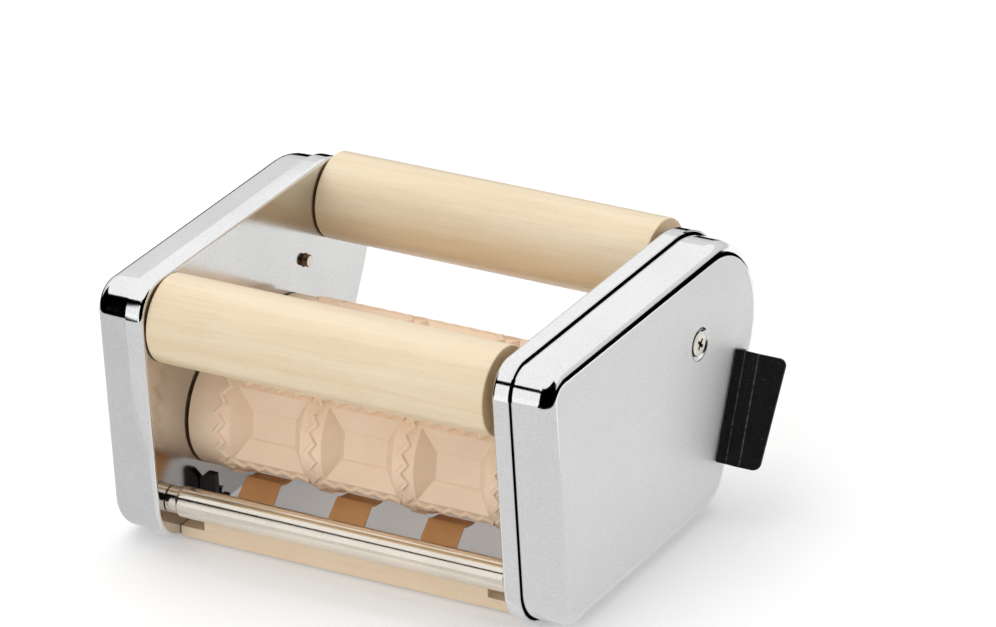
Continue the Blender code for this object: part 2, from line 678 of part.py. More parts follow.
def crank_socket():
    """A sleeve on the front shaft's left end, open outwards for the crank, with a cross pin."""
    mouth = left_face + SOCKET_RECESS
    inner = mouth + SOCKET_BORE_DEPTH + SOCKET_GRIP
    profile = [(mouth, 0.0), (mouth, SOCKET_RADIUS), (inner, SOCKET_RADIUS), (inner, 0.0)]
    socket = smooth(turned("crank_socket", profile, STEEL, front_mould_y, MOULD_Z, ROUND_SIDES))
    bm = bmesh.new()
    prism(bm, mouth - SEAT_GAP, mouth + SOCKET_BORE_DEPTH, 0.0, 0.0, SOCKET_BORE_RADIUS, ROUND_SIDES)
    bore = from_bmesh("socket_bore", bm, None, (0.0, front_mould_y, MOULD_Z))
    bm = bmesh.new()
    hexagon(bm, mouth, inner + SEAT_GAP, 0.0, 0.0, END_FLATS + 2 * SEAT_GAP)
    grip = from_bmesh("socket_grip", bm, None, (0.0, front_mould_y, MOULD_Z))
    cross = bpy.data.meshes.new("cross_hole")
    bm = bmesh.new()
    bmesh.ops.create_cone(
        bm, cap_ends=True, segments=TINY_SIDES, radius1=CRANK_PIN_RADIUS + SEAT_GAP,
        radius2=CRANK_PIN_RADIUS + SEAT_GAP, depth=3 * SOCKET_RADIUS,
    )
    bm.to_mesh(cross)
    bm.free()
    pin_x = mouth + CRANK_PIN_DEPTH
    hole = placed("pin_hole", cross, None, (pin_x, front_mould_y, MOULD_Z))
    for tool in (bore, grip, hole):
        boolean(socket, tool)
    bm = bmesh.new()
    bmesh.ops.create_cone(
        bm, cap_ends=True, segments=TINY_SIDES, radius1=CRANK_PIN_RADIUS, radius2=CRANK_PIN_RADIUS,
        depth=2 * SOCKET_RADIUS - 4 * SEAT_GAP,
    )
    smooth(from_bmesh("crank_pin", bm, STEEL, (pin_x, front_mould_y, MOULD_Z)))


def tie_rod(name, y):
    """A chromed rod with necked ends, drilled for a screw at each end."""
    left, right = SEAT_GAP, INNER_WIDTH - SEAT_GAP
    chamfer = ROD_RADIUS - ROD_NECK_RADIUS
    drill, depth = ROD_SCREW_RADIUS + SEAT_GAP, ROD_SCREW_LENGTH + SEAT_GAP
    half = [(left + depth, 0.0), (left + depth, drill), (left, drill), (left, ROD_NECK_RADIUS)]
    half += [(left + ROD_NECK_LENGTH, ROD_NECK_RADIUS), (left + ROD_NECK_LENGTH + chamfer, ROD_RADIUS)]
    profile = half + [(left + right - x, radius) for x, radius in reversed(half)]
    smooth(turned(name, profile, CHROME, y, ROD_HEIGHT, ROUND_SIDES))


def screw(name, side, y, z, radius, length):
    """A pan-head screw through a plate, its head outside and its shank reaching inwards."""
    wall, outward = WALLS[side]
    seat = wall + outward * (PLATE_SHEET + SEAT_GAP)
    top = seat + outward * SCREW_HEAD_THICKNESS
    head = radius + SCREW_HEAD_WIDTH
    tip = wall - outward * length
    profile = [(tip, 0.0), (tip, radius), (seat, radius), (seat, head), (top, head), (top, 0.0)]
    smooth(turned(name, profile, STEEL, y, z, TINY_SIDES))


def inner_screws():
    """Screws from inside each housing, into the tie rods and the brackets."""
    for side in WALLS:
        for row, y in (("front", front_rod_y), ("rear", rear_rod_y)):
            screw(f"{row}_{side}_rod_screw", side, y, ROD_HEIGHT, ROD_SCREW_RADIUS, ROD_SCREW_LENGTH)
        for row, y in (("front", bracket_screw_y), ("rear", 2 * nip_y - bracket_screw_y)):
            name = f"{row}_{side}_bracket_screw"
            screw(name, side, y, bracket_screw_z, BRACKET_SCREW_RADIUS, BRACKET_SCREW_LENGTH)


def comb(name, mirror):
    """The strip with its lip, the fingers up to the roller, and an end tab under each bracket."""
    def across(outline):
        return [(2 * nip_y - y, z) for y, z in outline] if mirror else outline

    back = COMB_FRONT_Y + COMB_STRIP_DEPTH
    eased = 0.0006
    strip = [(COMB_FRONT_Y, COMB_LIFT), (back, COMB_LIFT), (back, strip_top)]
    strip += [(COMB_FRONT_Y + eased, strip_top), (COMB_FRONT_Y, strip_top - eased)]
    bm = bmesh.new()
    slab(bm, across(strip), SEAT_GAP, INNER_WIDTH - SEAT_GAP)
    made = from_bmesh(name, bm, CREAM)

    lip_back = COMB_FRONT_Y + LIP_THICKNESS
    base, lip_top = COMB_LIFT + eased, COMB_LIFT + LIP_HEIGHT
    lip = [(COMB_FRONT_Y, base), (lip_back, base), (lip_back, lip_top)]
    lip += [(COMB_FRONT_Y + eased, lip_top), (COMB_FRONT_Y, lip_top - eased)]
    bm = bmesh.new()
    slab(bm, across(lip), LIP_LEFT_END, INNER_WIDTH - LIP_RIGHT_END)
    boolean(made, from_bmesh(name + "_lip", bm), "UNION")

    bm = bmesh.new()
    for column in range(POCKETS_ACROSS):
        middle = mould_middle + (column - (POCKETS_ACROSS - 1) / 2) * POCKET_PITCH + FINGER_OFFSET
        slab(bm, across(finger_outline()), middle - FINGER_WIDTH / 2, middle + FINGER_WIDTH / 2)
    boolean(made, from_bmesh(name + "_fingers", bm), "UNION")

    tab_end = BRACKET_Y + BRACKET_DEPTH
    tab = [(back - eased, base), (tab_end, base), (tab_end, strip_top - eased)]
    tab += [(tab_end - eased, strip_top), (back - eased, strip_top)]
    bm = bmesh.new()
    slab(bm, across(tab), 2 * SEAT_GAP, TAB_WIDTH)
    slab(bm, across(tab), INNER_WIDTH - TAB_WIDTH, INNER_WIDTH - 2 * SEAT_GAP)
    boolean(made, from_bmesh(name + "_tabs", bm), "UNION")


def finger_outline():
    """A tapered finger, from inside the strip up to its clearance under the roller."""
    along = Vector((math.cos(FINGER_SLOPE), math.sin(FINGER_SLOPE)))
    below = Vector((along.y, -along.x))
    root = Vector((FINGER_ROOT_Y, FINGER_ROOT_Z))
    to_axis = Vector((front_mould_y, MOULD_Z)) - root
    middle = to_axis.dot(along)
    reach = middle - math.sqrt(middle**2 - to_axis.length_squared + (MOULD_RADIUS + FINGER_CLEARANCE) ** 2)
    tip = root + along * reach
    heel = root + along * FINGER_THICKNESS
    return [tuple(root), tuple(heel + below * FINGER_THICKNESS), tuple(tip + below * FINGER_TIP), tuple(tip)]


def brackets():
    """Black blocks screwed to the plates, each seated on a comb's end tab."""
    back = BRACKET_Y + BRACKET_DEPTH
    cut = BRACKET_CHAMFER
    outline = [(BRACKET_Y, bracket_base), (back, bracket_base), (back, bracket_top - cut)]
    outline += [(back - cut, bracket_top), (BRACKET_Y + cut, bracket_top), (BRACKET_Y, bracket_top - cut)]
    mirrored = [(2 * nip_y - y, z) for y, z in outline]
    spans = (("left", SEAT_GAP, BRACKET_WIDTH), ("right", INNER_WIDTH - BRACKET_WIDTH, INNER_WIDTH - SEAT_GAP))
    bm = bmesh.new()
    for y in (bracket_screw_y, 2 * nip_y - bracket_screw_y):
        for wall, inward in ((0.0, 1), (INNER_WIDTH, -1)):
            depth = wall + inward * (BRACKET_SCREW_LENGTH + SEAT_GAP)
            prism(bm, wall, depth, y, bracket_screw_z, BRACKET_SCREW_RADIUS + SEAT_GAP, TINY_SIDES)
    holes = from_bmesh("bracket_holes", bm)
    for row, shape in (("front", outline), ("rear", mirrored)):
        for side, start, end in spans:
            bm = bmesh.new()
            slab(bm, shape, start, end)
            boolean(from_bmesh(f"{row}_{side}_bracket", bm, BLACK), holes)


def pillar(name, wall, outward, face):
    """A threaded pillar between plate and cover, its neck showing in the plate's inner wall."""
    shoulder = wall + outward * (PLATE_SHEET + SEAT_GAP)
    end = face - outward * (dimple_back + SEAT_GAP)
    drill = COVER_SCREW_RADIUS + SEAT_GAP
    floor = end - outward * COVER_SCREW_LENGTH
    profile = [(wall, 0.0), (wall, PILLAR_NECK_RADIUS), (shoulder, PILLAR_NECK_RADIUS)]
    profile += [(shoulder, PILLAR_RADIUS), (end, PILLAR_RADIUS), (end, drill), (floor, drill), (floor, 0.0)]
    smooth(turned(name, profile, STEEL, cover_screw_y, COVER_SCREW_Z))


def cover_screw(name, face, outward):
    """A pan-head screw in its cover's dimple, reaching into the pillar."""
    seat = face - outward * (DIMPLE_DEPTH - SEAT_GAP)
    top = seat + outward * COVER_SCREW_HEAD
    tip = face - outward * (dimple_back + COVER_SCREW_LENGTH)
    profile = [(tip, 0.0), (tip, COVER_SCREW_RADIUS), (seat, COVER_SCREW_RADIUS)]
    profile += [(seat, COVER_SCREW_HEAD_RADIUS), (top - outward * 0.0006, COVER_SCREW_HEAD_RADIUS)]
    profile += [(top, 0.75 * COVER_SCREW_HEAD_RADIUS), (top, 0.0)]
    smooth(turned(name, profile, STEEL, cover_screw_y, COVER_SCREW_Z))


def lug(name, face, outward):
    """A folded lug: a foot on the cover, a bend, and a stepped fin that narrows downwards."""
    skin = LUG_SHEET / 2
    foot_x = SEAT_GAP + skin
    bend = LUG_BEND_RADIUS
    path = [(LUG_FOOT, foot_x)]
    for step in range(4):
        turn = math.radians(30 * step)
        path.append((bend * (1 - math.sin(turn)), foot_x + bend * (1 - math.cos(turn))))
    path += [(0.0, LUG_STEP_START), (-LUG_STEP, LUG_STEP_END), (-LUG_STEP, LUG_REACH)]
    along = Vector((math.sin(LUG_LEAN), math.cos(LUG_LEAN)))
    across = Vector((along.y, -along.x))
    narrow = LUG_LOW_REACH / LUG_REACH
    bm = bmesh.new()
    rows = []
    for end, share in ((-1, narrow), (1, 1.0)):
        root = Vector((lug_y, LUG_Z)) + along * end * LUG_LENGTH / 2
        row = []
        for offset, reach in path:
            place = root + across * offset
            rise = reach if reach <= foot_x + bend else foot_x + bend + (reach - foot_x - bend) * share
            row.append(bm.verts.new((face + outward * rise, place.x, place.y)))
        rows.append(row)
    for index in range(len(path) - 1):
        bm.faces.new((rows[0][index], rows[0][index + 1], rows[1][index + 1], rows[1][index]))
    corners = [rows[0][-1], rows[1][-1], rows[0][0], rows[1][0]]
    bmesh.ops.bevel(bm, geom=corners, offset=LUG_CORNER, segments=3, profile=0.5, affect="VERTICES")
    bmesh.ops.recalc_face_normals(bm, faces=bm.faces)
    made = smooth(from_bmesh(name, bm, PAINT), 50)
    sheet = made.modifiers.new("sheet", "SOLIDIFY")
    sheet.thickness = LUG_SHEET
    sheet.offset = 0.0
    sheet.use_even_offset = True
    bm = bmesh.new()
    for place in rivet_places():
        inside, outside = face - outward * LUG_SHEET, face + outward * 3 * LUG_SHEET
        prism(bm, inside, outside, place.x, place.y, RIVET_RADIUS + SEAT_GAP, TINY_SIDES)
    boolean(made, from_bmesh(name + "_holes", bm))


def rivet(name, face, outward, place):
    """A rivet through a lug's foot and the cover, with a head on each side."""
    inside = face - outward * (COVER_SHEET + SEAT_GAP)
    outside = face + outward * (2 * SEAT_GAP + LUG_SHEET)
    tail, head = inside - outward * RIVET_HEAD, outside + outward * RIVET_HEAD
    profile = [(tail, 0.0), (tail, RIVET_HEAD_RADIUS), (inside, RIVET_HEAD_RADIUS), (inside, RIVET_RADIUS)]
    profile += [(outside, RIVET_RADIUS), (outside, RIVET_HEAD_RADIUS)]
    profile += [(head, 0.6 * RIVET_HEAD_RADIUS), (head, 0.0)]
    smooth(turned(name, profile, STEEL, place.x, place.y, TINY_SIDES))


def lugs():
    lower, upper = rivet_places()
    for side, face, outward in (("left", left_face, -1), ("right", right_face, 1)):
        lug(f"{side}_lug", face, outward)
        rivet(f"{side}_lower_rivet", face, outward, lower)
        rivet(f"{side}_upper_rivet", face, outward, upper)


side_plates()
covers()
guide_roller("front", front_wood_y)
guide_roller("rear", rear_wood_y)
axle_clips()
mould_roller("front_mould_roller", front_mould_y, math.pi - MOULD_PHASE)
mould_roller("rear_mould_roller", rear_mould_y, MOULD_PHASE)
mould_shaft("front_mould_shaft", front_mould_y, left_face + SOCKET_RECESS + SOCKET_BORE_DEPTH + SEAT_GAP)
mould_shaft("rear_mould_shaft", rear_mould_y, -bush_outer - 2 * RUNNING_GAP - CLIP_THICKNESS)
for row, row_y in (("front", front_mould_y), ("rear", rear_mould_y)):
    bush(f"{row}_left_bush", 0.0, -1, row_y)
    bush(f"{row}_right_bush", INNER_WIDTH, 1, row_y)
drive_gears()
crank_socket()
tie_rod("front_tie_rod", front_rod_y)
tie_rod("rear_tie_rod", rear_rod_y)
inner_screws()
comb("front_comb", mirror=False)
comb("rear_comb", mirror=True)
brackets()
pillar("left_pillar", 0.0, -1, left_face)
pillar("right_pillar", INNER_WIDTH, 1, right_face)
cover_screw("left_cover_screw", left_face, -1)
cover_screw("right_cover_screw", right_face, 1)
lugs()
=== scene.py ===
"""Dressed scene of a ravioli attachment for a hand pasta machine.

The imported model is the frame. Shapes seen in the photograph are built again with fine detail, and the
pieces inside the housings keep their solids. Places are in metres from the datum of the part's source:
X = 0 at the left plate's inner wall, Y = 0 at the sharp front bottom corner, Z = 0 at the base.
"""

import math

import bmesh
import bpy
from mathutils import Matrix, Vector


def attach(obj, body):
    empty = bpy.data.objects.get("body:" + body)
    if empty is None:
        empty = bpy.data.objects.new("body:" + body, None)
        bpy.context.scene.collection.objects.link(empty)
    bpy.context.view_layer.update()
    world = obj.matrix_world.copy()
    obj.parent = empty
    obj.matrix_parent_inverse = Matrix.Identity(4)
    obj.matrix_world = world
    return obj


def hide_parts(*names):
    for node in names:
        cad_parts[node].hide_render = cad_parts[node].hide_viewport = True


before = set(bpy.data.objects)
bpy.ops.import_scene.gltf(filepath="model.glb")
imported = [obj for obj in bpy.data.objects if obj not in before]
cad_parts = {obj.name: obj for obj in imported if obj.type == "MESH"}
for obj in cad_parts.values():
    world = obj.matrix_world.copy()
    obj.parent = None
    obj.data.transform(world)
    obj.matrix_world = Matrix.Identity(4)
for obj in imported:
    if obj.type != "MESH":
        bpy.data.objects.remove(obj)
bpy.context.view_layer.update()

ROWS = ("front", "rear")
MIDDLE_X = 0.085
DATUM = Vector((-MIDDLE_X, -0.0888122, 0.0))

# Housing
HEIGHT = 0.1249
BASE_LENGTH = 0.1451
FRONT_LEAN = math.radians(3.25)
REAR_LEAN = math.radians(28.5)
CORNER_RADII = (0.0207, 0.0227, 0.0427, 0.0147)
CORNER_STEPS = (22, 14, 26, 20)
INNER_WIDTH = 0.168
PLATE_SHEET = 0.0008
PLATE_DEPTH = 0.0080
PLATE_EDGE = 0.0018
COVER_SHEET = 0.001
COVER_EDGE = 0.006
LEFT_RIM = -0.0050
LEFT_FACE = -0.0247
LEFT_INSET = 0.0011
GEAR_RIM = 0.1730
RIGHT_FACE = 0.1947
RIGHT_INSET = 0.0019
SEAT_GAP = 0.0003
PLATE_BEVEL = 0.00035
COVER_BEVEL = 0.0002
BUSH_HOLE = 0.0076
ROD_SCREW_HOLE = 0.0023
BRACKET_SCREW_HOLE = 0.0018
PILLAR_HOLE = 0.0032
RIVET_HOLE = 0.0023
CRANK_HOLE = 0.0085
CUT_PAST = 0.003
CUT_ABOVE = 0.002
CUT_SHORT = 0.001

# Rollers
WOOD_RADIUS = 0.0195
WOOD_LEFT = 0.0006
WOOD_RIGHT = 0.1629
WOOD_Z = 0.1047
WOOD_Y = {"front": 0.0148882, "rear": 0.1548429}
WOOD_EASE = 0.0008
FACING_END = 0.8
AXLE_BORE = 0.0033
MOULD_RADIUS = 0.0275
MOULD_LEFT = 0.0010
MOULD_RIGHT = 0.1666
MOULD_Z = 0.0489
MOULD_Y = {"front": 0.0512, "rear": 0.1065}
MOULD_TURN = {"front": math.radians(169), "rear": math.radians(11)}
NIP_Y = 0.07885
RIDGE_HEIGHT = 0.0011
RIDGE_TOP = 0.0018
RIDGE_BASE = 0.0034
RING_SWING = 0.0018
BAR_SWING = 0.0015
BAR_END_GAP = 0.0006
ZIGZAGS = 5
SPLITS = 3
ZIGZAG_REACH = 0.92
AROUND = 4
ACROSS = 3
PITCH = 0.045
POCKET_DEPTH = 0.0073
FLOOR_STEP = 0.0006
FLOOR_MARGIN = 0.0008
LAND_ACROSS = 0.0052
LAND_AROUND = 0.0036
SLOPE_ACROSS = 0.0060
SLOPE_AROUND = 0.0092
SHAFT_FLATS = 0.011
MOULD_BEVEL = 0.00022

# Rods, combs and brackets
ROD_RADIUS = 0.0068
ROD_NECK_RADIUS = 0.0058
ROD_NECK_LENGTH = 0.0054
ROD_Z = 0.0213
ROD_Y = {"front": 0.0097081, "rear": 0.1442619}
ROD_HOLE_DEPTH = 0.009
ROD_END_STEP = 0.0008
ROD_EASE = 0.00035
COMB_FRONT = 0.0160
COMB_BACK = 0.0255
COMB_LOW = 0.0007
COMB_HIGH = 0.0055
COMB_BEVEL = 0.00035
COMB_OVERLAP = 0.0001
LIP_SHEET = 0.0025
LIP_LOW = 0.0012
LIP_HIGH = 0.0112
LIP_ENDS = (0.012, 0.151)
TAB_FRONT = COMB_BACK - 0.0006
TAB_BACK = 0.0487
TAB_LEVELS = (0.0013, 0.0052)
TAB_REACH = (0.0006, 0.0092)
FINGER_SLOPE = math.radians(39.8)
FINGER_ROOT = Vector((0.0177, 0.0037))
FINGER_HEEL = 0.0024
FINGER_CLEARANCE = 0.0010
FINGER_TURN = math.radians(247.5)
FINGER_ARC = math.radians(18)
FINGER_SHEET = 0.0011
FINGER_THINNING = 0.0005
FINGER_START_Y = COMB_FRONT + 0.003
FINGER_BEND_Y = 0.0405
FINGER_WIDTH = 0.0175
FINGER_OFFSET = 0.0108
BRACKET_SCREW_Y = {"front": 0.0407, "rear": 2 * NIP_Y - 0.0407}
BRACKET_SCREW_Z = 0.0132
BRACKET_FRONT = 0.0322
BRACKET_SHEET = 0.0035
BRACKET_BACK = 0.0442
BRACKET_LOW = 0.0058
BRACKET_HIGH = 0.0240
BRACKET_REACH = 0.0081
BRACKET_CUT = 0.0033
BRACKET_FOOT = 0.0045
BRACKET_HOLE_DEPTH = 0.0073
BRACKET_BEVEL = 0.0003
BRACKET_OVERLAP = 0.0005
WEDGE_TIP = 0.0182
WEDGE_DEPTH = (0.0004, 0.0060)
WEDGE_HEIGHTS = (0.0052, 0.0012)

# Fasteners, lugs and crank socket
SCREW_Y = 0.1266429
SCREW_Z = 0.0847
DIMPLE_RADIUS = 0.0072
DIMPLE_FLOOR = 0.0055
DIMPLE_DEPTH = 0.0015
DIMPLE_LIP = 0.0004
DIMPLE_SKIN = (0.0003, 0.0022)
BOSS_WALLS = (0.0011, 0.0008)
SCREW_REACH = 0.0125
SCREW_CORE = 0.0019
SCREW_HEAD = 0.0053
HEAD_HEIGHT = 0.0014
HEAD_SIDE = 0.55
CROSS_LEVELS = ((1.1, 0.0028, 0.00075), (0.05, 0.0018, 0.00055))
CROSS_SPAN = 0.0030
# Share of the head's height above which the side of the screw head takes painted shade
SHADED_SIDE = 0.46
SKIN_MARGIN = 0.0001
PILLAR_RADIUS = 0.004
PILLAR_NECK = 0.0029
PILLAR_BORE = 0.0022
PILLAR_BORE_DEPTH = 0.010
STUD_REACH = 0.0027
STUD_TIP = 0.0024
THREAD_CREST = 0.0028
THREAD_ROOT = 0.00245
THREAD_PITCH = 0.0007
THREAD_START = 0.0004
THREAD_TURNS = 3
THREAD_ENDS = (0.00005, 0.0002)
LUG_SHEET = 0.0016
LUG_Y = 0.1473189
LUG_Z = 0.0470
LUG_LENGTH = 0.0495
LUG_LEAN = math.radians(23.7)
LUG_REACH = 0.0265
LUG_LOW_REACH = 0.0220
LUG_FOOT = 0.011
LUG_BEND = 0.002
LUG_STEP = 0.0016
LUG_STEP_START = 0.0060
LUG_STEP_END = 0.0132
LUG_CORNER = 0.0035
LUG_BEVEL = 0.00025
LUG_CUT = 0.004
RIVET_SPACING = 0.028
RIVET_RADIUS = 0.002
RIVET_HEAD = 0.0036
RIVET_RISE = 0.001
SOCKET_SUNK = 0.0006
SOCKET_RADIUS = 0.008
SOCKET_LENGTH = 0.0155
SOCKET_BORE = 0.0052
SOCKET_BORE_DEPTH = 0.010
SOCKET_HEXAGON = 0.0076
SOCKET_EASE = 0.0005
PIN_HOLE = 0.0015
PIN_HOLE_PLACE = 0.007
PIN_HOLE_LENGTH = 0.024

# Camera, as fitted to the photograph, in the part's frame
CAMERA_PLACE = Vector((1.382126, -2.348581, 1.378001))
CAMERA_RIGHT = Vector((0.8730, 0.4869, -0.0267))
CAMERA_UP = Vector((-0.1870, 0.3847, 0.9039))
CAMERA_LENS = 255.56
SENSOR = 36.0
CAMERA_RANGE = (0.1, 20.0)

# Lamps: name, azimuth from the front, elevation, softness, strength
SUNS = (
    ("key", -125.0, 66.0, 60.0, 1.50),
    ("fill", -12.0, 36.0, 60.0, 0.80),
    ("side", 95.0, 20.0, 20.0, 0.35),
)
WORLD_LIGHT = 0.54
FLOOR_GLOW = 0.24
FLOOR_DROP = 0.0002
FLOOR_REACH = 6.0
PAPER_TONES = ((0.3, 0.955), (0.7, 0.97))

# Cards that only reflections see: name, first and last angle from the front, (radius, height) of both
# edges, level
NEAR_EDGE = 0.125
MIDDLE_EDGE = 0.40
CARD_WALL = 1.5
CARDS = (
    ("near_floor", -40.2, 105, (NEAR_EDGE, 0.0001), (MIDDLE_EDGE, 0.0001), "grey"),
    ("left_near_floor", -105, -40.2, (NEAR_EDGE, 0.0001), (MIDDLE_EDGE, 0.0001), "shade"),
    ("side_floor", -8, 105, (MIDDLE_EDGE, 0.0002), (CARD_WALL, 0.0002), "dark"),
    ("side_wall", -8, 105, (CARD_WALL, 0.0), (CARD_WALL, 1.9), "dark"),
    ("left_floor", -90, -33, (MIDDLE_EDGE, 0.0002), (CARD_WALL, 0.0002), "dark"),
    ("left_wall", -90, -33, (CARD_WALL, 0.0), (CARD_WALL, 1.3), "dark"),
    ("front_line", -33, -8, (CARD_WALL, 0.95), (CARD_WALL, 1.35), "dark"),
    ("right_floor", 105, 151, (0.37, 0.0002), (CARD_WALL, 0.0002), "dark"),
    ("right_foot", 105, 151, (CARD_WALL, 0.0), (CARD_WALL, 0.22), "dark"),
    ("right_haze", 105, 151, (CARD_WALL, 0.22), (CARD_WALL, 0.40), "haze"),
    ("back_floor", 195, 270, (0.44, 0.0002), (CARD_WALL, 0.0002), "dark"),
    ("back_foot", 195, 270, (CARD_WALL, 0.0), (CARD_WALL, 0.14), "dark"),
    ("back_haze", 151, 270, (CARD_WALL, 0.14), (CARD_WALL, 0.40), "haze"),
    ("back_mist", 105, 270, (CARD_WALL, 0.40), (CARD_WALL, 0.75), "mist"),
)
CARD_LEVELS = {"dark": 0.0, "grey": 0.72, "shade": 0.62, "haze": 0.68, "mist": 0.77}

# Surfaces: the scales of their noises and the depths of their bumps
WHITE = (1.0, 1.0, 1.0)
SKIN_SCALE = 1500.0
GLOSS_SCALE = 240.0
SKIN_DEPTH = 0.0001
GRAIN_DEPTH = 0.0002
WAVE_SCALE = 35.0
WAVE_DEPTH = 0.002
# Half width of the painted highlight along each fold of the lugs
FOLD_HIGHLIGHT_WIDTH = 0.00032

# Building
ON_AXIS = 1e-7
CORNER_SHARE = 0.45
lug_along = Vector((math.sin(LUG_LEAN), math.cos(LUG_LEAN)))
lug_across = Vector((lug_along.y, -lug_along.x))
land = MOULD_RADIUS - RIDGE_HEIGHT
mould_middle = (MOULD_LEFT + MOULD_RIGHT) / 2


# Materials


class Graph:
    """Adds nodes to one material and joins them."""

    def __init__(self, name):
        self.material = bpy.data.materials.new(name)
        self.material.use_nodes = True
        self.tree = self.material.node_tree
        self.shader = self.tree.nodes["Principled BSDF"]
        self.place = self.add("ShaderNodeTexCoord").outputs["Object"]

    def add(self, kind, **settings):
        node = self.tree.nodes.new(kind)
        for key, value in settings.items():
            setattr(node, key, value)
        return node

    def join(self, start, end):
        self.tree.links.new(start, end)

    def fill(self, node, **values):
        for key, value in values.items():
            node.inputs[key.replace("_", " ")].default_value = value

    def stretched(self, place, scale, turn=(0.0, 0.0, 0.0)):
        node = self.add("ShaderNodeMapping")
        self.fill(node, Scale=scale, Rotation=turn)
        self.join(place, node.inputs["Vector"])
        return node.outputs["Vector"]

    def number(self, operation, *values):
        """A sum with sockets and plain numbers."""
        node = self.add("ShaderNodeMath", operation=operation)
        for value, socket in zip(values, node.inputs):
            if isinstance(value, float):
                socket.default_value = value
            else:
                self.join(value, socket)
        return node.outputs[0]

    def noise(self, vector, scale, detail=2.0, roughness=0.5, distortion=0.0):
        node = self.add("ShaderNodeTexNoise")
        self.fill(node, Scale=scale, Detail=detail, Roughness=roughness, Distortion=distortion)
        self.join(vector, node.inputs["Vector"])
        return node.outputs["Fac"]

    def ramp(self, value, stops):
        node = self.add("ShaderNodeValToRGB")
        elements = node.color_ramp.elements
        while len(elements) < len(stops):
            elements.new(0.5)
        for element, (position, colour) in zip(elements, stops):
            element.position = position
            element.color = (*colour, 1.0)
        self.join(value, node.inputs["Fac"])
        return node.outputs["Color"]

    def levels(self, value, start, end, low=0.3, high=0.7):
        """Spreads the values between low and high over start to end."""
        node = self.add("ShaderNodeMapRange")
        self.fill(node, From_Min=low, From_Max=high, To_Min=start, To_Max=end)
        self.join(value, node.inputs["Value"])
        return node.outputs["Result"]

    def mixed(self, factor, first, second, blend="MIX"):
        """Mixes two colours, each a socket or a plain colour."""
        node = self.add("ShaderNodeMix", data_type="RGBA", blend_type=blend)
        if isinstance(factor, float):
            node.inputs[0].default_value = factor
        else:
            self.join(factor, node.inputs[0])
        for value, socket in ((first, node.inputs[6]), (second, node.inputs[7])):
            if isinstance(value, tuple):
                socket.default_value = (*value, 1.0)
            else:
                self.join(value, socket)
        return node.outputs[2]

    def bump(self, height, strength, distance, under=None):
        node = self.add("ShaderNodeBump")
        self.fill(node, Strength=strength, Distance=distance)
        self.join(height, node.inputs["Height"])
        if under is not None:
            self.join(under, node.inputs["Normal"])
        return node.outputs["Normal"]

    def finish(self, colour, roughness, normal=None, **constants):
        self.join(colour, self.shader.inputs["Base Color"])
        self.join(roughness, self.shader.inputs["Roughness"])
        if normal is not None:
            self.join(normal, self.shader.inputs["Normal"])
        self.fill(self.shader, **constants)
        return self.material


def metal(name, colour, rough_low, rough_high, grain, grain_strength, wave_strength=0.0, smudge=0.04,
          speckle=0.0, metallic=1.0):
    """Plated metal: faint clouds in its tone, an uneven roughness, a fine grain and speckles."""
    graph = Graph(name)
    cloud = graph.noise(graph.place, 28.0, 4.0, 0.6)
    darker = tuple(channel * (1 - smudge) for channel in colour)
    tone = graph.ramp(cloud, ((0.35, darker), (0.65, colour)))
    if speckle:
        fleck = graph.noise(graph.place, grain * 0.6, 2.0, 0.8)
        spots = graph.ramp(fleck, ((0.34, (1 - speckle,) * 3), (0.62, WHITE)))
        tone = graph.mixed(1.0, tone, spots, "MULTIPLY")
    rough = graph.levels(graph.noise(graph.place, 60.0, 5.0, 0.65), rough_low, rough_high)
    fine = graph.noise(graph.place, grain, 3.0, 0.7)
    normal = graph.bump(fine, grain_strength, GRAIN_DEPTH)
    if wave_strength:
        normal = graph.bump(graph.noise(graph.place, WAVE_SCALE, 1.0), wave_strength, WAVE_DEPTH, normal)
    return graph.finish(tone, rough, normal, Metallic=metallic)


def wood(name, shade=None):
    """Pale wood with its fibres along X: bands, streaks and dark flecks. shade darkens the end grain."""
    graph = Graph(name)
    turn = (0.0, math.radians(1.2), math.radians(-1.0))
    along = graph.stretched(graph.place, (1.0, 1.0, 1.0), turn)
    fibres = graph.stretched(along, (0.035, 1.0, 1.0))
    bands = graph.noise(fibres, 130.0, 3.0, 0.55, 0.4)
    stops = ((0.30, (0.745, 0.60, 0.395)), (0.52, (0.79, 0.66, 0.465)), (0.72, (0.83, 0.715, 0.53)))
    tone = graph.ramp(bands, stops)
    stops = ((0.3, (0.93, 0.88, 0.80)), (0.7, WHITE))
    clouds = graph.ramp(graph.noise(graph.place, 16.0, 3.0), stops)
    warm = graph.mixed(0.55, WHITE, clouds)
    tone = graph.mixed(1.0, tone, warm, "MULTIPLY")
    streak = graph.noise(fibres, SKIN_SCALE, 4.0, 0.6)
    lines = graph.ramp(streak, ((0.30, (0.90, 0.85, 0.76)), (0.50, WHITE)))
    tone = graph.mixed(0.55, tone, graph.mixed(1.0, tone, lines, "MULTIPLY"))
    fleck = graph.noise(graph.stretched(along, (0.12, 1.0, 1.0)), 2300.0, 1.0, 0.5)
    dark = graph.levels(fleck, 0.0, 0.45, 0.70, 0.80)
    tone = graph.mixed(dark, tone, (0.50, 0.33, 0.17))
    if shade:
        tone = graph.mixed(1.0, tone, shade, "MULTIPLY")
    rough = graph.levels(streak, 0.54, 0.42)
    normal = graph.bump(streak, 0.25, GRAIN_DEPTH)
    return graph.finish(tone, rough, normal, Specular_IOR_Level=0.5, Coat_Weight=0.6, Coat_Roughness=0.3)


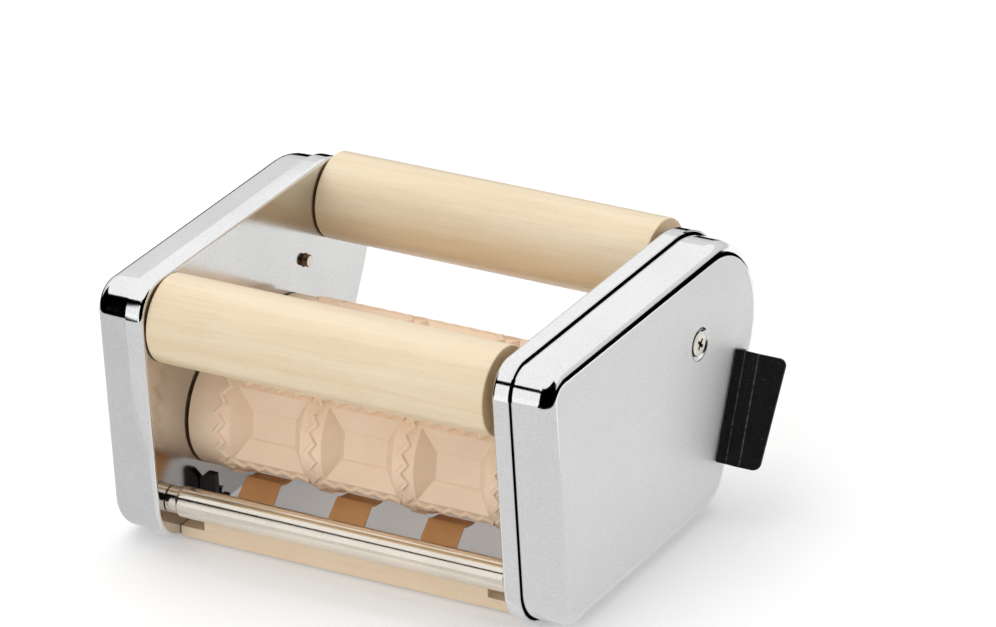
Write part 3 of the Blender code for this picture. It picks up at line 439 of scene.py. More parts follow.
def plastic(name, light, dark, rough_low, rough_high, mottle=45.0, bump=0.15, **constants):
    """Moulded plastic: a slow drift of tone, a fine pebbled skin and a few duller spots."""
    graph = Graph(name)
    tone = graph.ramp(graph.noise(graph.place, mottle, 4.0, 0.6), ((0.30, dark), (0.68, light)))
    rough = graph.levels(graph.noise(graph.place, GLOSS_SCALE, 3.0), rough_low, rough_high)
    normal = graph.bump(graph.noise(graph.place, SKIN_SCALE, 2.0), bump, SKIN_DEPTH)
    return graph.finish(tone, rough, normal, **constants)


def paint(name):
    """Black paint on folded steel: dust specks, and a grey line along each fold of the lugs, a painted
    highlight.
    """
    graph = Graph(name)
    stops = ((0.3, (0.004, 0.004, 0.005)), (0.7, (0.008, 0.008, 0.009)))
    tone = graph.ramp(graph.noise(graph.place, 90.0, 4.0, 0.6), stops)
    dust = graph.levels(graph.noise(graph.place, SKIN_SCALE, 2.0, 0.6), 0.0, 0.5, 0.66, 0.74)
    tone = graph.mixed(dust, tone, (0.16, 0.16, 0.15))
    split = graph.add("ShaderNodeSeparateXYZ")
    graph.join(graph.place, split.inputs[0])
    out = graph.number("ABSOLUTE", graph.number("SUBTRACT", split.outputs[0], MIDDLE_X))
    # Each fold gets a painted highlight: a grey line that stands for light caught by the bend.
    for fold, strength in ((LUG_STEP_START, 0.8), (LUG_STEP_END, 1.0)):
        near = graph.number("COMPARE", out, RIGHT_FACE - MIDDLE_X + fold, FOLD_HIGHLIGHT_WIDTH)
        fold_highlight = graph.levels(graph.noise(graph.place, 700.0, 3.0), 0.2 * strength, strength, 0.35, 0.6)
        tone = graph.mixed(graph.number("MULTIPLY", near, fold_highlight), tone, (0.085, 0.085, 0.085))
    rough = graph.levels(graph.noise(graph.place, GLOSS_SCALE, 3.0), 0.30, 0.42)
    normal = graph.bump(graph.noise(graph.place, SKIN_SCALE, 2.0), 0.35, SKIN_DEPTH)
    return graph.finish(tone, rough, normal, Specular_IOR_Level=0.12)


CHROME = metal("chrome_plate", (0.90, 0.90, 0.905), 0.05, 0.11, 1300.0, 0.04, 0.04, 0.05, 0.07)
WALL = metal("chrome_wall", (0.70, 0.70, 0.69), 0.09, 0.15, 1400.0, 0.10, 0.0, 0.06, 0.12)
SATIN = metal("satin_face", (0.80, 0.80, 0.795), 0.44, 0.54, 1600.0, 0.20, 0.0, 0.03, 0.12, 0.15)
DIMPLE = metal("stamped_dimple", (0.86, 0.86, 0.855), 0.16, 0.26, 1600.0, 0.08)
# Near-black painted shade for the inside of the pressed sheets and for the screws' recesses and head sides
PAINTED_SHADE = metal("painted_shade_black", (0.04, 0.04, 0.04), 0.5, 0.65, 900.0, 0.1)
ROD = metal("rod_plate", (0.86, 0.79, 0.69), 0.09, 0.17, 2400.0, 0.06, 0.03, 0.08, 0.06)
STEEL = metal("bright_steel", (0.66, 0.65, 0.62), 0.20, 0.34, 1500.0, 0.08, smudge=0.12)
NICKEL = metal("nickel_screw", (0.96, 0.92, 0.83), 0.32, 0.42, 1500.0, 0.10, smudge=0.08, metallic=0.25)
# The threads' dark brown is painted shade and a painted reflection of the wooden rollers
THREAD_SHADE = metal("thread_painted_shade", (0.30, 0.20, 0.15), 0.30, 0.45, 1500.0, 0.15, smudge=0.3)
BEECH = wood("pale_wood")
END_GRAIN = wood("end_grain", (1.0, 0.87, 0.71))
PEACH = plastic("peach_plastic", (0.88, 0.69, 0.51), (0.84, 0.635, 0.455), 0.42, 0.52, Subsurface_Weight=0.12,
                Subsurface_Scale=0.003)
CREAM = plastic("cream_plastic", (0.92, 0.75, 0.56), (0.88, 0.70, 0.50), 0.40, 0.52)
# The fingers' amber is partly their own orange plastic and partly painted shade from their place under the
# roller: darker than the strip
AMBER_AND_SHADE = plastic("amber_plastic_and_shade", (0.72, 0.38, 0.155), (0.62, 0.30, 0.11), 0.35, 0.5)
# A lighter copy of the amber for the curved finger ends: painted light on faces that lie in the roller's
# shade
AMBER_PAINTED_LIGHT = plastic("amber_painted_light", (0.98, 0.58, 0.27), (0.92, 0.50, 0.21), 0.35, 0.5)
BLACK = plastic("black_plastic", (0.010, 0.010, 0.012), (0.006, 0.006, 0.007), 0.35, 0.5,
                Specular_IOR_Level=0.35)
PAINT = paint("black_paint")
NYLON = plastic("white_nylon", (0.78, 0.77, 0.73), (0.70, 0.69, 0.65), 0.45, 0.55)


# Building


def placed(name, data):
    """A new object in the scene."""
    made = bpy.data.objects.new(name, data)
    bpy.context.scene.collection.objects.link(made)
    return made


def finished(name, node, mesh, materials, body="housing", degrees=35):
    """A piece of the scene that stands for a CAD node."""
    if materials:
        mesh.materials.clear()
    for material in materials:
        mesh.materials.append(material)
    made = placed(name, mesh)
    mesh.shade_smooth()
    mesh.set_sharp_from_angle(angle=math.radians(degrees))
    made.location = DATUM
    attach(made, body)
    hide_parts(node)
    return made


def soften(made, width, segments=2, degrees=30):
    """Rounds the edges of a piece."""
    bevel = made.modifiers.new("edges", "BEVEL")
    bevel.width = width
    bevel.segments = segments
    bevel.limit_method = "ANGLE"
    bevel.angle_limit = math.radians(degrees)
    weigh(made)


def weigh(made):
    """Keeps the shading of flat faces flat."""
    normals = made.modifiers.new("normals", "WEIGHTED_NORMAL")
    normals.keep_sharp = True
    normals.weight = 80


def mesh_of(bm):
    mesh = bpy.data.meshes.new("mesh")
    bm.to_mesh(mesh)
    bm.free()
    return mesh


def combined(base, joined, cut):
    """The mesh of a base object and its modifiers, with some meshes joined to it and others cut out."""
    helpers = []
    for mesh in (*joined, *cut):
        helper = placed("tool", mesh)
        helpers.append(helper)
        modifier = base.modifiers.new("tool", "BOOLEAN")
        modifier.operation = "UNION" if len(helpers) <= len(joined) else "DIFFERENCE"
        modifier.solver = "EXACT"
        modifier.object = helper
    graph = bpy.context.evaluated_depsgraph_get()
    graph.update()
    mesh = bpy.data.meshes.new_from_object(base.evaluated_get(graph))
    for helper in [base, *helpers]:
        bpy.data.objects.remove(helper)
    return mesh


def spoke(turn):
    return Vector((math.cos(turn), math.sin(turn)))


def ring_points(radius, sides):
    turns = [math.tau * step / sides for step in range(sides)]
    return [(radius * math.cos(turn), radius * math.sin(turn)) for turn in turns]


def lathe(profile, y=0.0, z=0.0, sides=64, closed=False):
    """A profile of (x, radius) points turned about X. A radius of zero is a point on the axis."""
    bm = bmesh.new()
    rings = []
    for x, radius in profile:
        if radius < ON_AXIS:
            rings.append([bm.verts.new((x, y, z))])
            continue
        rings.append([bm.verts.new((x, y + across, z + up)) for across, up in ring_points(radius, sides)])
    made = []
    for near, far in zip(rings, rings[1:] + rings[:1] if closed else rings[1:]):
        for step in range(sides):
            following = (step + 1) % sides
            corners = [near[step % len(near)], near[following % len(near)]]
            corners += [far[following % len(far)], far[step % len(far)]]
            unique = list(dict.fromkeys(corners))
            if len(unique) > 2:
                made.append(bm.faces.new(unique))
    bmesh.ops.recalc_face_normals(bm, faces=made)
    return mesh_of(bm)


def rounded(points, radius, steps=4):
    """A profile whose inner corners are rounded."""
    made = [points[0]]
    for before, here, after in zip(points, points[1:], points[2:]):
        here, back, on = Vector(here), Vector(before) - Vector(here), Vector(after) - Vector(here)
        reach = min(radius, CORNER_SHARE * back.length, CORNER_SHARE * on.length)
        start, end = here + back.normalized() * reach, here + on.normalized() * reach
        for step in range(steps + 1):
            share = step / steps
            point = start * (1 - share) ** 2 + here * 2 * share * (1 - share) + end * share**2
            made.append(tuple(point))
    made.append(points[-1])
    return made


def strip(bm, near, far):
    """The faces between two open rows of points."""
    for index in range(len(near) - 1):
        bm.faces.new((near[index], near[index + 1], far[index + 1], far[index]))


def band(bm, near, far):
    """The faces between two closed rings."""
    made = []
    for index in range(len(near)):
        made.append(bm.faces.new((near[index - 1], near[index], far[index], far[index - 1])))
    return made


def prism(bm, near, far):
    """Adds a solid whose two ends are given as lists of points."""
    near, far = [[bm.verts.new(point) for point in end] for end in (near, far)]
    made = [bm.faces.new(near), bm.faces.new(far), *band(bm, near, far)]
    bmesh.ops.recalc_face_normals(bm, faces=made)


def slab(bm, outline, start, end):
    """Adds an outline of (y, z) points, extruded along X."""
    prism(bm, [(start, y, z) for y, z in outline], [(end, y, z) for y, z in outline])


def bar(start, end, y, z, radius, sides=48):
    """A closed round or hexagonal bar along X, as a mesh."""
    bm = bmesh.new()
    slab(bm, [(y + across, z + up) for across, up in ring_points(radius, sides)], start, end)
    return mesh_of(bm)


def thickened(mesh, thickness, offset):
    """An object that gives a surface the thickness of its sheet."""
    base = placed("base", mesh)
    sheet = base.modifiers.new("sheet", "SOLIDIFY")
    sheet.thickness = thickness
    sheet.offset = offset
    sheet.use_even_offset = True
    return base


# Housings


def housing_outline(inset):
    """Points (y, z) round the housing, a rounded quadrilateral drawn in by the inset."""
    top_front = -HEIGHT * math.tan(FRONT_LEAN)
    top_rear = BASE_LENGTH + HEIGHT * math.tan(REAR_LEAN)
    sharp = ((0.0, 0.0), (BASE_LENGTH, 0.0), (top_rear, HEIGHT), (top_front, HEIGHT))
    right = math.radians(90)
    front, rear = math.pi + FRONT_LEAN, -REAR_LEAN
    turns = ((front, 3 * right), (-right, rear), (rear, right), (right, front))
    points = []
    for corner, radius, (start, end), steps in zip(sharp, CORNER_RADII, turns, CORNER_STEPS):
        first, last = spoke(start), spoke(end)
        centre = Vector(corner) - radius * (first + last) / (1 + first.dot(last))
        for step in range(steps + 1):
            angle = start + (end - start) * step / steps
            reach = radius - inset
            points.append((centre.x + reach * math.cos(angle), centre.y + reach * math.sin(angle)))
    return points


def pan(rim, face, inset, draft, edge, sheet, steps, skin):
    """A pressed tray with a rounded edge: a chromed rim, a flat face with its own skin, and an inside painted
    near black as shade.
    """
    outward = math.copysign(1.0, face - rim)
    sections = [(rim, inset)]
    for step in range(steps + 1):
        turn = math.radians(90 * step / steps)
        drawn = inset + draft + edge * (1 - math.cos(turn))
        sections.append((face - outward * edge * (1 - math.sin(turn)), drawn))
    bm = bmesh.new()
    rings = [[bm.verts.new((x, y, z)) for y, z in housing_outline(drawn)] for x, drawn in sections]
    for near, far in zip(rings, rings[1:]):
        band(bm, near, far)
    cap = bm.faces.new(rings[-1])
    cap.material_index = 1
    bmesh.ops.recalc_face_normals(bm, faces=bm.faces)
    cap.normal_update()
    if cap.normal.x * outward < 0:
        bmesh.ops.reverse_faces(bm, faces=bm.faces)
    base = thickened(mesh_of(bm), sheet, -1.0)
    # The sheet's inner side takes the near-black painted shade, so that the seams between plate and cover
    # look dark.
    for material in (CHROME, skin, PAINTED_SHADE):
        base.data.materials.append(material)
    base.modifiers["sheet"].material_offset = 2
    return base


def side_plate(side, wall, outward):
    """A pressed plate, its flat wall towards the rollers, with the holes that its fittings go through."""
    base = pan(wall + outward * PLATE_DEPTH, wall, 0.0, 0.0, PLATE_EDGE, PLATE_SHEET, 6, WALL)
    fittings = ((WOOD_Y, WOOD_Z, AXLE_BORE), (MOULD_Y, MOULD_Z, BUSH_HOLE), (ROD_Y, ROD_Z, ROD_SCREW_HOLE),
                (BRACKET_SCREW_Y, BRACKET_SCREW_Z, BRACKET_SCREW_HOLE))
    holes = [(places[row], z, radius) for places, z, radius in fittings for row in ROWS]
    holes.append((SCREW_Y, SCREW_Z, PILLAR_HOLE))
    cut = [bar(wall - CUT_PAST, wall + CUT_PAST, y, z, radius) for y, z, radius in holes]
    mesh = combined(base, (), cut)
    made = finished(f"{side}_plate", f"{side}_side_plate", mesh, ())
    soften(made, PLATE_BEVEL, 3, 60)


def rivet_places():
    middle = Vector((LUG_Y, LUG_Z)) + lug_across * (LUG_BEND + (LUG_FOOT - LUG_BEND) / 2)
    return [middle + lug_along * side * RIVET_SPACING / 2 for side in (-1, 1)]


def from_screw(part, top, outward):
    """How far a face lies from the cover screw's axis and how deep under the top."""
    away = math.hypot(part.center.y - SCREW_Y, part.center.z - SCREW_Z)
    return away, (top - part.center.x) * outward


def cover(name, node, rim, face, outward, inset, draft, crank_hole):
    """A pressed cover with a satin face, a stamped dimple for its screw, and holes for rivets and crank."""
    base = pan(rim, face, inset, draft, COVER_EDGE, COVER_SHEET, 12, SATIN)
    middle = face - outward * COVER_SHEET / 2
    back = face - outward * (COVER_SHEET + DIMPLE_DEPTH)
    boss = [(middle, 0.0), (middle, DIMPLE_RADIUS + BOSS_WALLS[0])]
    boss += [(back, DIMPLE_FLOOR + BOSS_WALLS[1]), (back, 0.0)]
    floor = face - outward * DIMPLE_DEPTH
    above = face + outward * CUT_ABOVE
    lip = DIMPLE_RADIUS + DIMPLE_LIP
    recess = [(above, 0.0), (above, lip)]
    for step in range(9):
        share = step / 8
        depth = DIMPLE_DEPTH * (1 - math.cos(math.pi * share)) / 2
        recess.append((face - outward * depth, lip - (lip - DIMPLE_FLOOR) * share))
    through = floor - outward * CUT_PAST
    recess += [(floor, PILLAR_BORE), (through, PILLAR_BORE), (through, 0.0)]
    boss, cut = lathe(boss, SCREW_Y, SCREW_Z), [lathe(recess, SCREW_Y, SCREW_Z)]
    below = face - outward * CUT_PAST
    for place in rivet_places():
        cut.append(bar(below, above, place.x, place.y, RIVET_HOLE, 32))
    if crank_hole:
        cut.append(bar(below, above, MOULD_Y["front"], MOULD_Z, CRANK_HOLE, 64))
    mesh = combined(base, (boss,), cut)
    mesh.materials.append(DIMPLE)
    for part in mesh.polygons:
        away, depth = from_screw(part, face, outward)
        if away < DIMPLE_RADIUS + DIMPLE_SKIN[0] and depth < DIMPLE_SKIN[1]:
            part.material_index = 3
    soften(finished(name, node, mesh, ()), COVER_BEVEL, 2, 60)


# Rollers


def wooden_roller(row):
    profile = [(WOOD_LEFT, AXLE_BORE), (WOOD_LEFT, WOOD_RADIUS)]
    profile += [(WOOD_RIGHT, WOOD_RADIUS), (WOOD_RIGHT, AXLE_BORE)]
    mesh = lathe(rounded(profile, WOOD_EASE, 5), WOOD_Y[row], WOOD_Z, 128, closed=True)
    name = f"{row}_wood"
    made = finished(name, f"{name}_roller", mesh, (BEECH, END_GRAIN), name)
    for face in mesh.polygons:
        face.material_index = int(abs(face.normal.x) > FACING_END)
    weigh(made)


def round_axis(x, radius, angle):
    return x, radius * math.cos(angle), radius * math.sin(angle)


def swing(step):
    """A zigzag with SPLITS steps from one point to the next, its points slightly short of -1 and 1."""
    phase = (step / SPLITS) % 2
    sharp = 1 - 2 * phase if phase <= 1 else 2 * phase - 3
    return ZIGZAG_REACH * sharp


def section(bm, x, angle, along, around):
    """Points across a ridge. along and around say which way the ridge's width runs."""
    foot, top = RIDGE_BASE / 2, RIDGE_TOP / 2
    made = []
    for offset, radius in ((-foot, land), (-top, MOULD_RADIUS), (top, MOULD_RADIUS), (foot, land)):
        turn = angle + around * offset / MOULD_RADIUS
        made.append(bm.verts.new(round_axis(x + along * offset, radius, turn)))
    return made


def pocket(bm, start, turn, stations):
    """A pocket with four slopes and a sunk flat floor. Returns the points of its two curved edges."""
    floor_height = land - POCKET_DEPTH
    opening = math.pi / AROUND - LAND_AROUND / land
    floor_reach = land * math.sin(opening) - SLOPE_AROUND
    floor_radius = math.hypot(floor_height, floor_reach)
    floor_angle = math.atan2(floor_reach, floor_height)
    edges, corners = [], []
    for x, slope in ((start + LAND_ACROSS, SLOPE_ACROSS), (start + PITCH - LAND_ACROSS, -SLOPE_ACROSS)):
        angles = [turn + opening * index / stations for index in range(-stations, stations + 1)]
        edge = [bm.verts.new(round_axis(x, land, angle)) for angle in angles]
        ends = (turn - floor_angle, turn + floor_angle)
        pair = [bm.verts.new(round_axis(x + slope, floor_radius, end)) for end in ends]
        for index in range(stations):
            bm.faces.new((edge[index], edge[index + 1], pair[0]))
            bm.faces.new((edge[index + stations], edge[index + stations + 1], pair[1]))
        bm.faces.new((edge[stations], pair[1], pair[0]))
        edges.append(edge)
        corners.append(pair)
    for side, end in ((0, 0), (1, -1)):
        bm.faces.new((edges[0][end], edges[1][end], corners[1][side], corners[0][side]))
    rim = [corners[0][0], corners[0][1], corners[1][1], corners[1][0]]
    middle = sum((corner.co for corner in rim), Vector()) / 4
    inward = Vector((0.0, middle.y, middle.z)).normalized()
    low = []
    for corner in rim:
        side = corner.co - middle
        along = Vector((side.x, 0.0, 0.0))
        drawn = middle.copy()
        for share in (along, side - along):
            drawn += share * (1 - FLOOR_MARGIN / share.length)
        low.append(bm.verts.new(drawn - inward * FLOOR_STEP))
    band(bm, rim, low)
    bm.faces.new(low)
    return edges


def mould_mesh():
    """The moulded roller: end bands, crimp ridges, land and pockets, all sharing their points."""
    bm = bmesh.new()
    half = ZIGZAGS * SPLITS
    around = 2 * half
    steps = around * AROUND
    first = mould_middle - ACROSS * PITCH / 2
    rings = []
    for index in range(ACROSS + 1):
        middle = first + index * PITCH
        sections = []
        for step in range(steps):
            sections.append(section(bm, middle + RING_SWING * swing(step), math.tau * step / steps, 1, 0))
        for step in range(steps):
            strip(bm, sections[step - 1], sections[step])
        rings.append(sections)
    for x, ring, side in ((MOULD_LEFT, rings[0], 0), (MOULD_RIGHT, rings[-1], -1)):
        rim = [bm.verts.new(round_axis(x, land, math.tau * step / steps)) for step in range(steps)]
        band(bm, rim, [item[side] for item in ring])
        bm.faces.new(rim)
    stations = half - SPLITS
    for column in range(ACROSS):
        start = first + column * PITCH
        low_ring = [item[-1] for item in rings[column]]
        high_ring = [item[0] for item in rings[column + 1]]
        pockets = []
        for row in range(AROUND):
            edges = pocket(bm, start, math.tau * row / AROUND, stations)
            for edge, ring in zip(edges, (low_ring, high_ring)):
                for index in range(len(edge) - 1):
                    step = row * around + index - stations
                    bm.faces.new((ring[step], ring[(step + 1) % steps], edge[index + 1], edge[index]))
            pockets.append(edges)
        for row in range(AROUND):
            step = row * around + half
            shift = RING_SWING * swing(step)
            clear = RIDGE_BASE / 2 + BAR_END_GAP
            low, high = start + shift + clear, start + PITCH + shift - clear
            count = 10 * SPLITS
            turn = math.tau * (row + 0.5) / AROUND
            ridge = []
            for index in range(count + 1):
                angle = turn + BAR_SWING * swing(index) / MOULD_RADIUS
                ridge.append(section(bm, low + (high - low) * index / count, angle, 0, 1))
            for near, far in zip(ridge, ridge[1:]):
                strip(bm, near, far)
            bm.faces.new(ridge[0])
            bm.faces.new(ridge[-1])
            before, after = pockets[row], pockets[(row + 1) % AROUND]
            bm.faces.new([before[0][-1]] + [item[0] for item in ridge] + [before[1][-1]])
            bm.faces.new([after[0][0]] + [item[-1] for item in ridge] + [after[1][0]])
            for ring, end, side in ((low_ring, ridge[0], 0), (high_ring, ridge[-1], 1)):
                lower = [ring[(step - index) % steps] for index in range(SPLITS + 1)]
                upper = [ring[(step + index) % steps] for index in range(SPLITS + 1)]
                bm.faces.new(list(reversed(lower)) + [end[0], before[side][-1]])
                bm.faces.new(upper + [after[side][0], end[-1]])
                bm.faces.new((ring[step], end[-1], end[0]))
    bmesh.ops.recalc_face_normals(bm, faces=bm.faces)
    wide = [face for face in bm.faces if len(face.verts) > 4]
    bmesh.ops.triangulate(bm, faces=wide, ngon_method="EAR_CLIP")
    return bm


def mould_roller(row):
    bm = mould_mesh()
    bmesh.ops.rotate(bm, verts=bm.verts, matrix=Matrix.Rotation(MOULD_TURN[row], 3, "X"))
    bmesh.ops.translate(bm, verts=bm.verts, vec=(0.0, MOULD_Y[row], MOULD_Z))
    reach = (SHAFT_FLATS + 2 * SEAT_GAP) / math.sqrt(3)
    bore = bar(MOULD_LEFT - CUT_SHORT, MOULD_RIGHT + CUT_SHORT, MOULD_Y[row], MOULD_Z, reach, 6)
    mesh = combined(placed("base", mesh_of(bm)), (), (bore,))
    name = f"{row}_mould"
    made = finished(name, f"{name}_roller", mesh, (PEACH,), name, 25)
    soften(made, MOULD_BEVEL, 2, 24)


# Rods, combs and brackets


def tie_rod(row):
    """A rod with a screw hole in each end and a neck at its left end."""
    left, right = SEAT_GAP, INNER_WIDTH - SEAT_GAP
    neck = left + ROD_NECK_LENGTH
    shoulder = right - ROD_END_STEP
    slope = ROD_RADIUS - ROD_NECK_RADIUS
    inner = left + ROD_HOLE_DEPTH
    profile = [(inner, 0.0), (inner, ROD_SCREW_HOLE), (left, ROD_SCREW_HOLE), (left, ROD_NECK_RADIUS)]
    profile += [(neck, ROD_NECK_RADIUS), (neck + slope, ROD_RADIUS)]
    profile += [(shoulder - slope, ROD_RADIUS), (shoulder, ROD_NECK_RADIUS), (right, ROD_NECK_RADIUS)]
    inner = right - ROD_HOLE_DEPTH
    profile += [(right, ROD_SCREW_HOLE), (inner, ROD_SCREW_HOLE), (inner, 0.0)]
    mesh = lathe(rounded(profile, ROD_EASE, 3), ROD_Y[row], ROD_Z, 96)
    weigh(finished(f"{row}_rod", f"{row}_tie_rod", mesh, (ROD,)))


def finger_outline():
    """A tapered finger that rises from the strip to the roller and then runs on close under it."""
    along = spoke(FINGER_SLOPE)
    below = Vector((along.y, -along.x))
    axis = Vector((MOULD_Y["front"], MOULD_Z))
    reach = MOULD_RADIUS + FINGER_CLEARANCE
    inner, outer = [], []
    for step in range(9):
        share = step / 8
        out = spoke(FINGER_TURN + FINGER_ARC * share)
        inner.append(tuple(axis + out * reach))
        outer.append(tuple(axis + out * (reach + FINGER_SHEET - FINGER_THINNING * share)))
    heel = FINGER_ROOT + (along + below) * FINGER_HEEL
    return [tuple(FINGER_ROOT), tuple(heel), *outer, *reversed(inner)]


def comb(row):
    """A strip with a raised lip, a finger under each column of pockets, and a tab at each end."""
    mirror = row == "rear"

    def shape(outline, spans):
        bm = bmesh.new()
        for start, end in spans:
            slab(bm, [(2 * NIP_Y - y, z) if mirror else (y, z) for y, z in outline], start, end)
        return mesh_of(bm)

    def block(front, back, low, high, spans):
        return shape([(front, low), (back, low), (back, high), (front, high)], spans)

    base = block(COMB_FRONT, COMB_BACK, COMB_LOW, COMB_HIGH, [(SEAT_GAP, INNER_WIDTH - SEAT_GAP)])
    lip_front = COMB_FRONT + COMB_OVERLAP
    lip = block(lip_front, lip_front + LIP_SHEET, LIP_LOW, LIP_HIGH, [LIP_ENDS])
    middles = [mould_middle + (column - 1) * PITCH - FINGER_OFFSET for column in range(ACROSS)]
    spans = [(middle - FINGER_WIDTH / 2, middle + FINGER_WIDTH / 2) for middle in middles]
    fingers = shape(finger_outline(), spans)
    near, far = TAB_REACH
    spans = [(near, far), (INNER_WIDTH - far, INNER_WIDTH - near)]
    tabs = block(TAB_FRONT, TAB_BACK, *TAB_LEVELS, spans)
    mesh = combined(placed("base", base), (lip, fingers, tabs), ())
    materials = (CREAM, AMBER_AND_SHADE, AMBER_PAINTED_LIGHT)
    made = finished(f"{row}_scraper", f"{row}_comb", mesh, materials)
    # Finger faces take the amber, its darkness partly painted shade; past the bend they take the lighter
    # amber, painted light on faces in the roller's shade.
    for face in mesh.polygons:
        y = 2 * NIP_Y - face.center.y if mirror else face.center.y
        if face.center.z > COMB_HIGH + COMB_OVERLAP and y > FINGER_START_Y:
            face.material_index = 2 if y > FINGER_BEND_Y else 1
    soften(made, COMB_BEVEL)


def bracket(row, side):
    """A block on the wall: a tall thin front, a low foot behind it and a low wedge beside it."""
    near, low, end = BRACKET_FRONT, BRACKET_LOW, BRACKET_REACH

    def place(x, y, z):
        return x if side == "left" else INNER_WIDTH - x, 2 * NIP_Y - y if row == "rear" else y, z

    def block(points, start, stop, along):
        bm = bmesh.new()
        ends = []
        for level in (start, stop):
            ends.append([place(a, level, b) if along == "y" else place(level, a, b) for a, b in points])
        prism(bm, *ends)
        return mesh_of(bm)

    outline = [(SEAT_GAP, low), (end, low), (end, BRACKET_HIGH)]
    outline += [(SEAT_GAP + BRACKET_CUT, BRACKET_HIGH), (SEAT_GAP, BRACKET_HIGH - BRACKET_CUT)]
    front = block(outline, near, near + BRACKET_SHEET, "y")
    start, top = near + BRACKET_SHEET - BRACKET_OVERLAP, low + BRACKET_FOOT
    outline = [(start, low), (BRACKET_BACK, low), (BRACKET_BACK, top), (start, top)]
    foot = block(outline, SEAT_GAP, end, "x")
    root, rise = end - 2 * BRACKET_OVERLAP, [low + height for height in WEDGE_HEIGHTS]
    wedge_front, wedge_back = [near + depth for depth in WEDGE_DEPTH]
    outline = [(root, low), (WEDGE_TIP, low), (WEDGE_TIP, rise[1]), (root, rise[0])]
    wedge = block(outline, wedge_front, wedge_back, "y")
    wall, inward = (0.0, 1) if side == "left" else (INNER_WIDTH, -1)
    floor = wall + inward * BRACKET_HOLE_DEPTH
    hole = bar(wall, floor, BRACKET_SCREW_Y[row], BRACKET_SCREW_Z, BRACKET_SCREW_HOLE, 24)
    mesh = combined(placed("base", front), (foot, wedge), (hole,))
    name = f"{row}_{side}"
    made = finished(f"{name}_block", f"{name}_bracket", mesh, (BLACK,))
    soften(made, BRACKET_BEVEL)


# Fasteners and lugs


def pillar(side, wall, outward, face):
    """A pillar between plate and cover. Its threaded end stands out of the plate's inner wall."""
    shoulder = wall + outward * (PLATE_SHEET + SEAT_GAP)
    end = face - outward * (COVER_SHEET + DIMPLE_DEPTH + SEAT_GAP)
    floor = end - outward * PILLAR_BORE_DEPTH
    stud = wall - outward * STUD_REACH
    profile = [(stud, 0.0), (stud, STUD_TIP), (stud + outward * THREAD_START, THREAD_CREST)]
    for turn in range(THREAD_TURNS):
        crest = THREAD_START + THREAD_PITCH * turn
        profile.append((stud + outward * (crest + THREAD_PITCH / 2), THREAD_ROOT))
        profile.append((stud + outward * (crest + THREAD_PITCH), THREAD_CREST))
    profile += [(shoulder, PILLAR_NECK), (shoulder, PILLAR_RADIUS), (end, PILLAR_RADIUS)]
    profile += [(end, PILLAR_BORE), (floor, PILLAR_BORE), (floor, 0.0)]
    mesh = lathe(profile, SCREW_Y, SCREW_Z, 48)
    made = finished(f"{side}_post", f"{side}_pillar", mesh, (NICKEL, THREAD_SHADE))
    # Faces of the thread take the dark brown: painted shade and a painted reflection of the wood.
    start, end = THREAD_ENDS
    for part in mesh.polygons:
        depth = (part.center.x - stud) * outward
        part.material_index = int(start < depth < STUD_REACH + PLATE_SHEET + SEAT_GAP - end)
    weigh(made)


def cover_screw(side, face, outward):
    """A pan-head screw with a cross recess. The recess and the side of its head are painted near black as
    shade.
    """
    seat = face - outward * (DIMPLE_DEPTH - SEAT_GAP)
    tip = face - outward * SCREW_REACH
    top = seat + outward * HEAD_HEIGHT
    profile = [(tip, 0.0), (tip, SCREW_CORE), (seat, SCREW_CORE), (seat, SCREW_HEAD)]
    for step in range(7):
        share = math.radians(90 * step / 6)
        rise = HEAD_HEIGHT * (HEAD_SIDE + (1 - HEAD_SIDE) * math.sin(share))
        profile.append((seat + outward * rise, SCREW_HEAD - HEAD_HEIGHT * (1 - math.cos(share))))
    profile.append((top, 0.0))
    ends = []
    for height, reach, width in CROSS_LEVELS:
        ring = []
        for arm in range(4):
            along = spoke(math.radians(45 + 90 * arm))
            across = Vector((-along.y, along.x)) * width
            for point in (along * reach - across, along * reach + across, along * width + across):
                ring.append((seat + outward * HEAD_HEIGHT * height, SCREW_Y + point.x, SCREW_Z + point.y))
        ends.append(ring)
    bm = bmesh.new()
    prism(bm, *ends)
    base = placed("base", lathe(profile, SCREW_Y, SCREW_Z, 64))
    mesh = combined(base, (), (mesh_of(bm),))
    node = f"{side}_cover_screw"
    made = finished(f"{side}_cover_bolt", node, mesh, (NICKEL, PAINTED_SHADE))
    # Faces in the cross recess and on the upper side of the head take the near-black painted shade.
    for part in mesh.polygons:
        away, depth = from_screw(part, top, outward)
        recess = away < CROSS_SPAN and SKIN_MARGIN < depth < HEAD_HEIGHT * CROSS_LEVELS[0][0]
        rim = away > SCREW_HEAD - SKIN_MARGIN and depth > HEAD_HEIGHT * SHADED_SIDE
        part.material_index = int(recess or rim)
    weigh(made)


